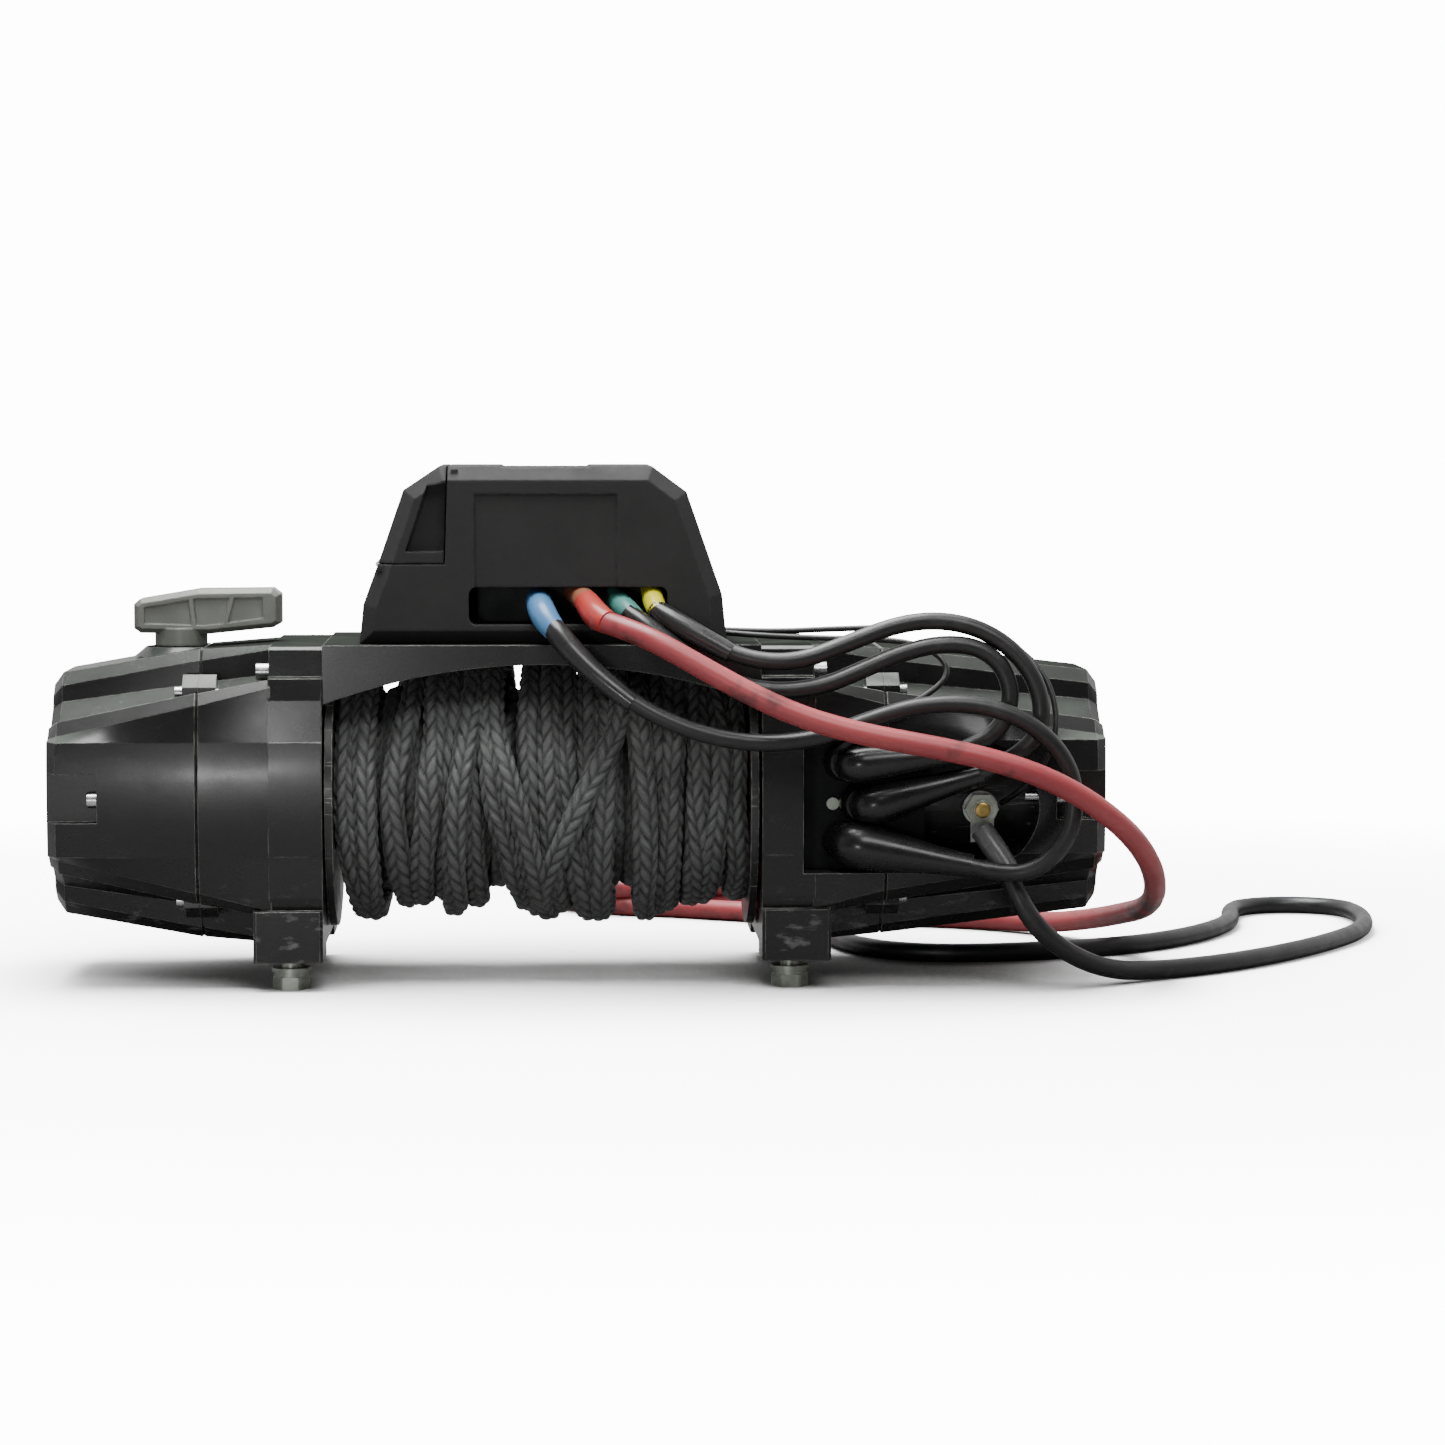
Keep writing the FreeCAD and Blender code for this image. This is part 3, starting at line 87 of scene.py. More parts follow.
def cable(name, points, radius, body="frame", swell=None):
    """A smooth tube along a route. swell scales the radius at each point. The points hold the radius in
    metres, because a curve's box is grown by it."""
    curve = bpy.data.curves.new(name, "CURVE")
    curve.dimensions = "3D"
    spline = curve.splines.new("NURBS")
    spline.points.add(len(points) - 1)
    for i, p in enumerate(points):
        spline.points[i].co = (*p, 1)
        spline.points[i].radius = radius * (swell[i] if swell else 1.0)
    spline.order_u = 3
    spline.use_endpoint_u = True
    spline.resolution_u = 10
    curve.bevel_depth = 1.0
    curve.bevel_resolution = 6
    curve.use_fill_caps = True
    curve.resolution_u = 10
    piece = bpy.data.objects.new(name, curve)
    bpy.context.scene.collection.objects.link(piece)
    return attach(piece, body)


LEAD_STARTS = ((1.5, -66.0, 176.0), (28.0, -76.0, 173.5), (43.5, -64.0, 176.0), (57.0, -64.0, 178.5))
BOOT_ENDS = ((207.0, -76.0, 104.5), (221.0, -70.5, 93.0), (215.0, -77.5, 48.5))
GROUND_TAIL = (234.0, -77.0, 50.0)

RED_ROUTE = [
    LEAD_STARTS[1], (41.0, -86.0, 170.0), (60.0, -94.0, 162.0), (82.0, -100.0, 149.5),
    (106.0, -105.0, 136.5), (131.0, -108.0, 125.5), (160.0, -110.0, 117.5), (191.0, -111.0, 112.0),
    (222.0, -110.5, 105.5), (250.0, -109.5, 96.5), (275.0, -105.0, 83.0), (297.0, -91.0, 65.5),
    (311.5, -67.0, 47.0), (319.0, -34.0, 29.0), (320.0, 8.0, 16.0), (315.0, 54.0, 7.5),
    (304.0, 98.0, -1.0), (284.0, 136.0, -8.0), (252.0, 165.0, -9.25), (210.0, 182.0, -9.25),
    (160.0, 190.0, -9.25), (116.0, 207.0, -9.25),
]
BLACK_ROUTE = [
    GROUND_TAIL, (240.5, -84.0, 33.0), (251.0, -84.5, 16.5), (268.0, -79.0, 2.5), (291.0, -66.0, -7.5),
    (320.0, -46.0, -10.0), (356.0, -22.0, -10.0), (392.0, 14.0, -10.0), (426.0, 58.0, -10.0),
    (454.0, 106.0, -10.0), (468.0, 154.0, -10.0), (470.0, 208.0, -10.0), (455.0, 227.5, -10.0),
    (431.0, 233.5, -10.0), (409.0, 223.5, -10.0), (397.5, 202.0, -10.0), (392.0, 160.0, -10.0),
    (376.0, 122.0, -10.0), (352.0, 86.0, -10.0), (322.0, 58.0, -10.0), (286.0, 40.0, -10.0),
    (250.0, 29.0, -10.0), (217.0, 25.0, -10.0), (188.0, 36.0, -10.0), (169.0, 62.0, -10.0),
    (160.0, 98.0, -10.0), (157.0, 138.0, -9.0), (156.0, 176.0, 6.5), (157.5, 207.0, 6.5),
    (160.0, 244.0, -9.0),
]
BLUE_ROUTE = [
    LEAD_STARTS[0], (11.5, -76.0, 163.0), (29.0, -84.0, 145.0), (54.0, -89.0, 127.0), (82.0, -91.0, 115.5),
    (112.0, -91.0, 111.0), (141.0, -91.0, 114.5), (166.0, -91.5, 124.0), (188.0, -92.5, 130.5),
    (211.0, -93.0, 132.0), (233.0, -93.5, 128.0), (252.0, -93.5, 117.0), (265.0, -93.0, 101.0),
    (269.0, -93.0, 82.0), (265.0, -94.0, 63.5), (252.5, -94.5, 49.5), (235.5, -91.0, 44.0), BOOT_ENDS[2],
]
TEAL_ROUTE = [
    LEAD_STARTS[2], (62.0, -73.0, 161.5), (84.0, -80.5, 146.0), (112.0, -84.0, 137.0), (140.0, -84.0, 139.0),
    (162.0, -81.5, 148.0), (182.0, -79.5, 156.5), (202.0, -78.5, 161.0), (220.0, -79.0, 159.5),
    (232.0, -80.0, 151.0), (237.5, -80.5, 137.5), (235.0, -80.0, 123.0), (225.0, -79.5, 111.5), BOOT_ENDS[0],
]
YELLOW_ROUTE = [
    LEAD_STARTS[3], (80.0, -74.0, 164.5), (102.0, -82.0, 153.5), (128.0, -84.5, 151.5), (154.0, -80.0, 161.0),
    (179.0, -77.0, 170.5), (201.0, -76.0, 173.0), (222.0, -77.0, 168.5), (239.5, -79.0, 157.0),
    (250.5, -80.5, 141.0), (253.5, -81.0, 123.0), (246.0, -80.5, 106.0), BOOT_ENDS[1],
]
WIRE_ROUTES = (
    [
        (94.7, -46.0, 165.0), (112.0, -48.0, 163.5), (138.0, -50.0, 162.5), (164.0, -54.0, 162.0),
        (187.0, -57.0, 161.0), (203.0, -64.0, 154.5), (207.0, -71.0, 145.0), (198.0, -75.5, 136.5),
        (184.0, -78.5, 129.0), (169.0, -80.0, 121.0), (157.0, -79.0, 112.0), (149.5, -71.0, 106.0),
        (147.0, -55.2, 103.5),
    ],
    [
        (94.6, -38.0, 166.0), (118.0, -38.5, 165.0), (150.0, -40.0, 166.5), (182.0, -43.0, 167.5),
        (212.0, -50.0, 168.0), (236.0, -60.0, 163.0), (254.0, -68.0, 148.0), (261.0, -74.0, 130.0),
        (260.0, -79.0, 112.0), (253.0, -78.0, 97.0), (244.0, -68.0, 85.0), (235.4, -56.3, 78.0),
    ],
)

# The coils that hold the rest of each battery cable: the middle of the coil, the radius of its
# outer turn, and the angle at which the cable arrives. The turns run clockwise seen from above.
RED_COIL = ((75.0, 290.0), 58.0, 270.0)
BLACK_COIL = ((205.0, 300.0), 51.3, 180.0)
POINTS_PER_TURN = 16
COIL_TURNS = 2.25
LUG_GAP = 0.9                      # between a lug and the outside of its coil
LUG_LIFT = 0.6                     # between a lug's sleeve and the floor


def coil_points(coil, cable_r):
    """Route points, in mm, of a coil: a turn inwards on the floor, then one outwards on top of it, and
    down beside it to where its lug lies."""
    centre, outer_r, arrival = coil
    wide = 2 * cable_r
    count = int(COIL_TURNS * POINTS_PER_TURN)
    low = FLOOR_Z / MM + cable_r
    turns = (0.0, 1.1, 1.35, 2.0, 2.12, COIL_TURNS)
    radii = (outer_r, outer_r - 1.1 * wide, outer_r - 1.1 * wide, outer_r - 0.45 * wide,
             outer_r + 0.3 * wide, outer_r + wide + 0.4)
    heights = (low, low, low + wide, low + wide, low + 0.85 * wide, low + 0.2)
    spread = 1 / math.cos(math.pi / POINTS_PER_TURN)
    points = []
    for i in range(count + 1):
        turn = COIL_TURNS * i / count
        r = np.interp(turn, turns, radii) * spread
        a = math.radians(arrival) - 2 * math.pi * turn
        z = np.interp(turn, turns, heights)
        points.append((centre[0] + r * math.cos(a), centre[1] + r * math.sin(a), z))
    return points


def lug_start(coil, cable_r, lug_angle):
    """A point just before the one where a cable's far lug starts, and one inside its sleeve, in mm."""
    centre, outer_r, _ = coil
    a = math.radians(lug_angle)
    r = outer_r + 2 * cable_r + LUG_GAP
    z = FLOOR_Z / MM + cable_r + LUG_LIFT
    start = Vector((centre[0] + r * math.cos(a), centre[1] + r * math.sin(a), z))
    along = Vector((math.sin(a), -math.cos(a), 0))
    return [tuple(start - along * 9), tuple(start + along * 8)]


def battery_cable(name, route, coil, radius, lug_angle):
    points = route + coil_points(coil, radius / MM) + lug_start(coil, radius / MM, lug_angle)
    return cable(name, in_metres(points), radius)


red_cable = battery_cable("red_battery_cable", RED_ROUTE, RED_COIL, RED_R, 150)
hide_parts("red_cable", "red_coil")
black_cable = battery_cable("black_battery_cable", BLACK_ROUTE, BLACK_COIL, BLACK_R, 60)
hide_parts("black_cable", "black_coil")

LEAD_ROUTES = {"blue": BLUE_ROUTE, "teal": TEAL_ROUTE, "yellow": YELLOW_ROUTE}
motor_leads = [cable(f"{mark}_marked_lead", in_metres(route), LEAD_R) for mark, route in LEAD_ROUTES.items()]
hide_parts("motor_leads")
signal_wires = [cable(f"signal_wire_{i + 1}", in_metres(r), WIRE_R) for i, r in enumerate(WIRE_ROUTES)]
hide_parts("signal_wires")


# ---- boots and sleeves --------------------------------------------------------------------
SLOT_BOOTS = {           # route, radius in mm, and the share of the radius at each point
    "blue": (
        [(-1, -40, 182), (-0.6, -52, 180.5), (0.6, -62, 177.5), (3.5, -68, 172), (7.5, -72, 167.5)],
        6.6, (1.0, 1.0, 1.06, 1.04, 0.9),
    ),
    "brown": (
        [(18, -40, 186), (20, -50, 184.5), (23, -60, 182), (26, -68, 178.5)],
        6.0, (1.0, 1.0, 1.03, 1.0),
    ),
    "red": (
        [(23.5, -61, 181.5), (25.5, -67, 178.5), (29, -75, 174.5), (34, -81, 172)],
        6.7, (0.95, 1.02, 1.05, 0.9),
    ),
    "teal": (
        [(38, -40, 183), (40, -52, 180.5), (44, -61, 177), (50.5, -68, 171)],
        5.9, (1.0, 1.0, 1.04, 0.85),
    ),
    "yellow": (
        [(56.5, -42, 187), (57, -52, 184.5), (57.5, -60, 181), (59.5, -66, 176.5)],
        5.3, (1.0, 1.0, 1.05, 0.92),
    ),
}


def slot_boot(name):
    points, radius, swell = SLOT_BOOTS[name]
    return cable(f"{name}_boot", in_metres(points), radius * MM, swell=swell)


slot_boots = {name: slot_boot(name) for name in SLOT_BOOTS}
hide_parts("lead_boots")

# Black shrink sleeves, from inside a coloured boot some way along its lead.
SHRINK_ROUTES = (
    [(3.5, -68, 173), (7, -72, 168.5), (13, -77, 161), (21, -81, 152.5), (32, -85, 142.5), (46, -88, 132)],
    [(57.5, -63.5, 179), (62, -66.5, 175), (70, -70.5, 170), (81, -74.8, 164), (96, -80, 156)],
    [(44, -63.5, 176.5), (50, -67.5, 171.5), (62, -73, 162), (78, -79, 151)],
)
SHRINK_R = 5.1
SHRINK_SWELL = (0.9, 1.18, 1.24, 1.16, 1.06)
SHRINK_END = (0.98,)


def shrink_sleeve(index):
    points = SHRINK_ROUTES[index]
    swell = SHRINK_SWELL[:len(points) - 1] + SHRINK_END
    return cable(f"shrink_sleeve_{index + 1}", in_metres(points), SHRINK_R * MM, swell=swell)


shrink_sleeves = [shrink_sleeve(i) for i in range(len(SHRINK_ROUTES))]

TERMINALS = ((159.0, 99.0), (167.0, 78.0), (158.5, 58.0))      # x, z of the three motor studs
BULB_Y = -69
BULB_RADII = (9.6, 9.8, 11.6)
BASE_R = 10.4
BOOT_TIP_R = 5.6
BOOT_SWELL = (0.92, 1.0, 1.04, 1.0, 0.86, 0.68, 0.56, 0.52)


def terminal_boot(index):
    """A soft boot: out from its stud as a bulb, then tapering along to where its lead comes out."""
    x, z = TERMINALS[index]
    end = Vector(BOOT_ENDS[index])
    bulb = Vector((x, BULB_Y, z))
    along = end - bulb
    points = [(x, -57, z), (x - 1.5, -63, z), tuple(bulb + Vector((1, -1, 0)))]
    points += [tuple(bulb + along * share) for share in (0.2, 0.42, 0.66, 0.88, 1.06)]
    radius = BULB_RADII[index]
    swell = [max(share, BOOT_TIP_R / radius) for share in BOOT_SWELL]
    return cable(f"terminal_boot_{index + 1}", in_metres(points), radius * MM, swell=swell)


terminal_boots = [terminal_boot(i) for i in range(len(TERMINALS))]
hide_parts("terminal_boots")


def boot_base(index):
    """The round skirt behind a boot, where it is pushed over its stud."""
    x, z = TERMINALS[index]
    points = [(x - 5, -54, z + 1), (x - 5, -58, z + 1), (x - 4.5, -62, z + 0.6), (x - 4, -65.5, z + 0.3)]
    return cable(f"boot_base_{index + 1}", in_metres(points), BASE_R * MM, swell=(0.95, 1.0, 0.96, 0.78))


boot_bases = [boot_base(i) for i in range(len(TERMINALS))]


LUG_EYE = (218.5, -66.5, 74.0)
CRIMP_R = 6.1


def ground_sleeve():
    """Grey shrink sleeve over the ground lug's crimp and the first of its cable."""
    tail = Vector(GROUND_TAIL)
    upward = Vector(LUG_EYE) - tail
    points = [tuple(tail + upward * share) for share in (0.66, 0.5, 0.25, 0.0, -0.18)]
    return cable("ground_sleeve", in_metres(points), CRIMP_R * MM, swell=(0.98, 1.0, 1.03, 0.97, 0.92))


crimp_sleeve = ground_sleeve()

GROUND_STUD = (224.5, 75.5)       # x, z
STUD_END_Y = -68.6
STUD_END_R = 4.3


def stud_end():
    """The rounded brass-coloured end of the ground stud, inside its nut."""
    x, z = GROUND_STUD
    points = [(x, STUD_END_Y + back, z) for back in (2.5, 0, -0.9, -1.2)]
    return cable("ground_stud_end", in_metres(points), STUD_END_R * MM, swell=(1.0, 1.0, 0.86, 0.4))


brass_end = stud_end()


# ---- the wound rope -----------------------------------------------------------------------
ROPE_R = 6.6 * MM
LAYER_RADII = (38.2, 47.0, 55.0)      # of the rope's middle in each layer, in mm from the drum's axis
INNER_TURNS = 17                      # in each of the two covered layers
ROPE_ENDS_X = (-97.0, 99.0)
HALF_COLUMNS = 6           # lines of stitches round the braid, leaning left and right in turn
STITCH_PITCH = 8.4 * MM
STITCH_LEAN = 0.95
STITCH_DEEP = 1.5 * MM
COLUMN_APART = 37.0        # keeps the fibres of neighbouring columns different
COVERED_STEP = 2.4 * MM
COVERED_AROUND = 20
OUTER_STEP = 1.3 * MM
OUTER_AROUND = 40

# What isn't even about the rope: a random seed and the distance over which each one changes.
SIDEWAYS = (3, 31 * MM)
THICKNESS = (5, 23 * MM)
STRANDS = (7, 9 * MM)
TWIST = (11, 95 * MM)
THICKER = 0.07                     # share of the radius
STRANDS_DIFFER = 0.45              # share of a stitch's depth
TWISTS = 1.1                       # radians
FLATTENED = 0.12                   # share of the radius that lying on the layer below takes off

# The outer layer's turns as they cross the front, from left to right: x at the top, above the
# middle, at the middle, below it and at the bottom, how far the turn stands out and hangs, and its
# height over the layer at the top, where most turns are bunched up under the tie plate.
OUTER_TURNS = (
    (-98, -99, -100, -98, -91, 0.0, 9.0, 0), (-88, -89, -89, -88, -86, 3.5, 8.0, 1),
    (-64, -69, -76, -74, -69, 1.0, 3.0, 5), (-52, -53, -57, -60, -61, 3.5, 0.5, 7),
    (-44, -47, -50, -51, -50, -3.0, 0.0, 7), (-33, -37, -42, -45, -44, 4.5, 6.0, 8),
    (-38, -37, -36, -35, -33, -3.5, 4.0, 6), (-28, -28, -24, -15, -8, 2.5, 4.0, 8),
    (-24, -25, -14, -4, 4, 5.5, 8.0, 8), (-4, -6, -6, -3, 3, -1.0, 4.0, 8),
    (5, 4, 5, 6, 10, 0.5, 6.0, 8), (13, 13, 13, 16, 26, -2.0, 11.0, 7),
    (25, 25, 25, 27, 33, -2.5, 9.0, 8), (45, 38, 22, 8, -3, 7.0, 6.0, 8),
    (36, 34, 32, 31, 31, 2.0, 10.5, 7), (49, 50, 52, 53, 54, 3.5, 10.0, 7),
    (59, 58, 57, 58, 61, -3.0, 8.0, 6), (69, 67, 67, 66, 65, 1.0, 5.0, 5),
    (79, 80, 81, 80, 77, 2.5, 2.0, 4), (90, 92, 91, 88, 84, 3.0, 1.0, 2),
    (99, 100, 100, 101, 102, -1.5, 0.0, 0),
)
FRONT_ANGLES = (20.0, 60.0, 90.0, 120.0, 168.0)      # from the top, over the front, to the bottom
MOST_HANG = 11.0                   # keeps the turning loops about 3 mm clear of the tie plate


def rope_knots():
    """Knots (angle, x, radius) of the whole wound rope, in degrees and mm: two even layers, then the
    outer one. The angle runs on from turn to turn."""
    knots = []
    left, right = ROPE_ENDS_X
    for layer in (0, 1):
        for step in range(INNER_TURNS * 4):
            share = step / (INNER_TURNS * 4)
            x = left + (right - left) * (share if layer == 0 else 1 - share)
            knots.append(((layer * INNER_TURNS + step / 4) * 360.0, x, LAYER_RADII[layer]))
    first = 2 * INNER_TURNS
    for i, turn in enumerate(OUTER_TURNS):
        start = (first + i) * 360.0
        out, hang, top = turn[5:]
        lifts = (top, (out + top) / 2, out, out * 0.9 + hang * 0.3, min(out * 0.3 + hang, MOST_HANG))
        for angle, x, lift in zip(FRONT_ANGLES, turn, lifts):
            knots.append((start + angle, x, LAYER_RADII[2] + lift))
        following = OUTER_TURNS[min(i + 1, len(OUTER_TURNS) - 1)]
        middle = (turn[4] + following[0]) / 2
        next_lift = (top + following[7]) / 2
        knots.append((start + 230.0, turn[4] * 0.8 + middle * 0.2, LAYER_RADII[2] + 0.5 * hang))
        knots.append((start + 290.0, middle, LAYER_RADII[2] - 0.5))
        knots.append((start + 345.0, middle * 0.4 + following[0] * 0.6, LAYER_RADII[2] + next_lift))
    return np.array(knots)


def rope_path(step):
    """(distances along the rope, points on its middle, degrees turned so far), one every step."""
    knots = rope_knots()
    degrees = np.arange(knots[0, 0], knots[-1, 0], 1.0)
    x = np.interp(degrees, knots[:, 0], knots[:, 1])
    r = np.interp(degrees, knots[:, 0], knots[:, 2])
    window = np.hanning(41)
    window /= window.sum()
    pad = len(window) // 2
    x = np.convolve(np.pad(x, pad, mode="edge"), window, mode="valid")
    r = np.convolve(np.pad(r, pad, mode="edge"), window, mode="valid")
    a = np.radians(degrees)
    points = np.stack([x * MM, -r * MM * np.sin(a), AXIS_Z + r * MM * np.cos(a)], axis=1)
    along = np.concatenate([[0], np.cumsum(np.linalg.norm(np.diff(points, axis=0), axis=1))])
    at = np.arange(0, along[-1], step)
    placed = np.stack([np.interp(at, along, points[:, k]) for k in range(3)], axis=1)
    return at, placed, np.interp(at, along, degrees)


def wander(at, seed, wavelength):
    """A smooth random number from -1 to 1 along a path."""
    source = np.random.default_rng(seed)
    knots = np.arange(0, at[-1] + 2 * wavelength, wavelength)
    values = source.uniform(-1, 1, len(knots))
    place = at / wavelength
    low = np.floor(place).astype(int)
    share = (1 - np.cos(np.pi * (place - low))) / 2
    return values[low] * (1 - share) + values[low + 1] * share


def directions(centre):
    """At each point of the rope's middle, the way out from the drum and the way across the rope."""
    tangent = np.gradient(centre, axis=0)
    tangent /= np.linalg.norm(tangent, axis=1)[:, None]
    outward = centre - np.array([0, 0, AXIS_Z])
    outward[:, 0] = 0
    outward -= (outward * tangent).sum(1)[:, None] * tangent
    outward /= np.linalg.norm(outward, axis=1)[:, None]
    return outward, np.cross(tangent, outward)


def stitch_columns(around):
    """For each place round the braid: its column of stitches, and its share of the way across it."""
    column = np.arange(around) * HALF_COLUMNS / around
    side = np.floor(column)
    return side, column - side


def leans(side):
    return np.where(side % 2 == 0, 1.0, -1.0)


def stitch_crowns(at, side, share):
    """How high each place stands in its stitch, from 0 in the seams to 1 on the crown."""
    phase = at[:, None] / STITCH_PITCH + leans(side) * (share - 0.5) * STITCH_LEAN + (side % 2) * 0.5
    stitch = phase - np.floor(phase)
    return (1 - np.abs(2 * stitch - 1) ** 2.6) * np.sin(np.pi * (0.04 + 0.92 * share)) ** 0.55


def stitch_uvs(at, side, share):
    """For each corner of each face: its place along its stitch, and how far along the rope it is."""
    rows = np.zeros((len(at) - 1, 1))
    side = side[None, :] + rows
    low = share[None, :] + rows
    high = low + HALF_COLUMNS / side.shape[1]
    start = (at[:-1] / STITCH_PITCH)[:, None] + (side % 2) * 0.5
    end = (at[1:] / STITCH_PITCH)[:, None] + (side % 2) * 0.5
    left = leans(side) * (low - 0.5) * STITCH_LEAN
    right = leans(side) * (high - 0.5) * STITCH_LEAN
    u = np.stack([start + left, start + right, end + right, end + left], axis=2)
    v = np.stack([at[:-1], at[:-1], at[1:], at[1:]], axis=1)[:, None, :] / STITCH_PITCH + 0 * u
    v = v + COLUMN_APART * side[:, :, None]
    return np.stack([u, v], axis=3)


def tube_faces(rows, around):
    """Four-sided faces between the rings of a tube."""
    first = np.arange(rows - 1)[:, None] * around
    here = np.arange(around)[None, :]
    beside = (here + 1) % around
    corners = [first + here, first + beside, first + around + beside, first + around + here]
    return np.stack(corners, axis=2).reshape(-1, 4)


def smooth_mesh(name, vertices, faces):
    mesh = bpy.data.meshes.new(name)
    mesh.vertices.add(len(vertices))
    mesh.vertices.foreach_set("co", vertices.astype(np.float32).ravel())
    mesh.loops.add(faces.size)
    mesh.loops.foreach_set("vertex_index", faces.astype(np.int32).ravel())
    mesh.polygons.add(len(faces))
    mesh.polygons.foreach_set("loop_start", np.arange(0, faces.size, 4, dtype=np.int32))
    mesh.update(calc_edges=True)
    mesh.polygons.foreach_set("use_smooth", np.ones(len(faces), bool))
    return mesh


def braid(name, at, centre, around, relief):
    """A braided rope along a path: a tube whose surface stands up in leaning stitches."""
    centre = centre.copy()
    centre[:, 0] += wander(at, *SIDEWAYS) * MM
    outward, across = directions(centre)
    side, share = stitch_columns(around)
    crown = stitch_crowns(at, side, share)
    swollen = 1 + THICKER * wander(at, *THICKNESS)[:, None]
    strand = 1 + STRANDS_DIFFER * (wander(at, *STRANDS)[:, None] * np.cos(side * 2.4))
    radius = ROPE_R * swollen - relief * (1 - crown) * strand
    theta = 2 * np.pi * np.arange(around)[None, :] / around + TWISTS * wander(at, *TWIST)[:, None]
    upright = np.cos(theta) * (1.0 - FLATTENED * np.cos(theta) ** 2)
    ring = upright[:, :, None] * outward[:, None] + np.sin(theta)[:, :, None] * across[:, None]
    vertices = (centre[:, None] + ring * radius[:, :, None]).reshape(-1, 3)
    mesh = smooth_mesh(name, vertices, tube_faces(len(at), around))
    stitch_map = mesh.uv_layers.new(name="stitches")
    stitch_map.data.foreach_set("uv", stitch_uvs(at, side, share).astype(np.float32).ravel())
    height = mesh.attributes.new("crown", "FLOAT", "POINT")
    height.data.foreach_set("value", crown.astype(np.float32).ravel())
    piece = bpy.data.objects.new(name, mesh)
    bpy.context.scene.collection.objects.link(piece)
    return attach(piece, "drum")


def wound_rope():
    """The rope on the drum, in two meshes: the covered layers plainer, the outer one in full detail."""
    covered_turns = 2 * INNER_TURNS * 360.0
    at, centre, degrees = rope_path(COVERED_STEP)
    inner = degrees < covered_turns + 4
    covered = braid("rope_inner_layers", at[inner], centre[inner], COVERED_AROUND, STITCH_DEEP * 0.8)
    at, centre, degrees = rope_path(OUTER_STEP)
    outer = degrees >= covered_turns
    wound = braid("rope_outer_layer", at[outer], centre[outer], OUTER_AROUND, STITCH_DEEP)
    print(f"rope on the drum: {at[-1]:.2f} m")
    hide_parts("rope")
    return [covered, wound]


rope_pieces = wound_rope()


# ---- finishes -----------------------------------------------------------------------------
class Finish:
    """A material's node tree, with short calls to add and join nodes."""

    def __init__(self, name):
        self.material = bpy.data.materials.new(name)
        self.material.use_nodes = True
        self.tree = self.material.node_tree
        self.shader = self.tree.nodes["Principled BSDF"]
        self.place = self.node("ShaderNodeTexCoord").outputs["Object"]

    def put(self, socket, value):
        if isinstance(value, bpy.types.NodeSocket):
            self.tree.links.new(value, socket)
        else:
            socket.default_value = value

    def node(self, kind, inputs=None, **settings):
        made = self.tree.nodes.new(kind)
        for key, value in settings.items():
            setattr(made, key, value)
        for key, value in (inputs or {}).items():
            self.put(made.inputs[key], value)
        return made

    def noise(self, scale, detail=3.0, stretch=None, place=None):
        place = place or self.place
        if stretch:
            place = self.node("ShaderNodeMapping", {"Vector": place, "Scale": stretch}).outputs["Vector"]
        made = self.node("ShaderNodeTexNoise", {"Vector": place, "Scale": scale, "Detail": detail})
        return made.outputs["Fac"]

    def span(self, value, low, high, to_low=0.0, to_high=1.0):
        """A value mapped from low..high to to_low..to_high, held at the ends."""
        inputs = {"Value": value, "From Min": low, "From Max": high, "To Min": to_low, "To Max": to_high}
        return self.node("ShaderNodeMapRange", inputs).outputs["Result"]

    def times(self, a, b):
        return self.node("ShaderNodeMath", {0: a, 1: b}, operation="MULTIPLY").outputs["Value"]

    def blend(self, factor, a, b):
        made = self.node("ShaderNodeMix", {0: factor, 6: a, 7: b}, data_type="RGBA")
        return made.outputs[2]

    def edges(self, radius):
        """(normal rounded over edges, how near an edge a place is, from 0 to 1)."""
        rounded = self.node("ShaderNodeBevel", {"Radius": radius}, samples=4).outputs["Normal"]
        flat = self.node("ShaderNodeNewGeometry").outputs["True Normal"]
        alike = self.node("ShaderNodeVectorMath", {0: rounded, 1: flat}, operation="DOT_PRODUCT")
        return rounded, self.span(alike.outputs["Value"], 0.99, 0.88)

    def upward(self):
        """1 where a place faces straight up, 0 where it stands upright."""
        normal = self.node("ShaderNodeNewGeometry").outputs["Normal"]
        return self.node("ShaderNodeSeparateXYZ", {0: normal}).outputs["Z"]

    def bump(self, height, strength, distance, normal=None):
        inputs = {"Height": height, "Strength": strength, "Distance": distance}
        if normal:
            inputs["Normal"] = normal
        return self.node("ShaderNodeBump", inputs).outputs["Normal"]

    def wear(self, **sockets):
        for name, value in sockets.items():
            self.put(self.shader.inputs[name.replace("_", " ")], value)
        return self.material


def grey(v, tint=(1.0, 1.0, 1.0)):
    return (v * tint[0], v * tint[1], v * tint[2], 1.0)


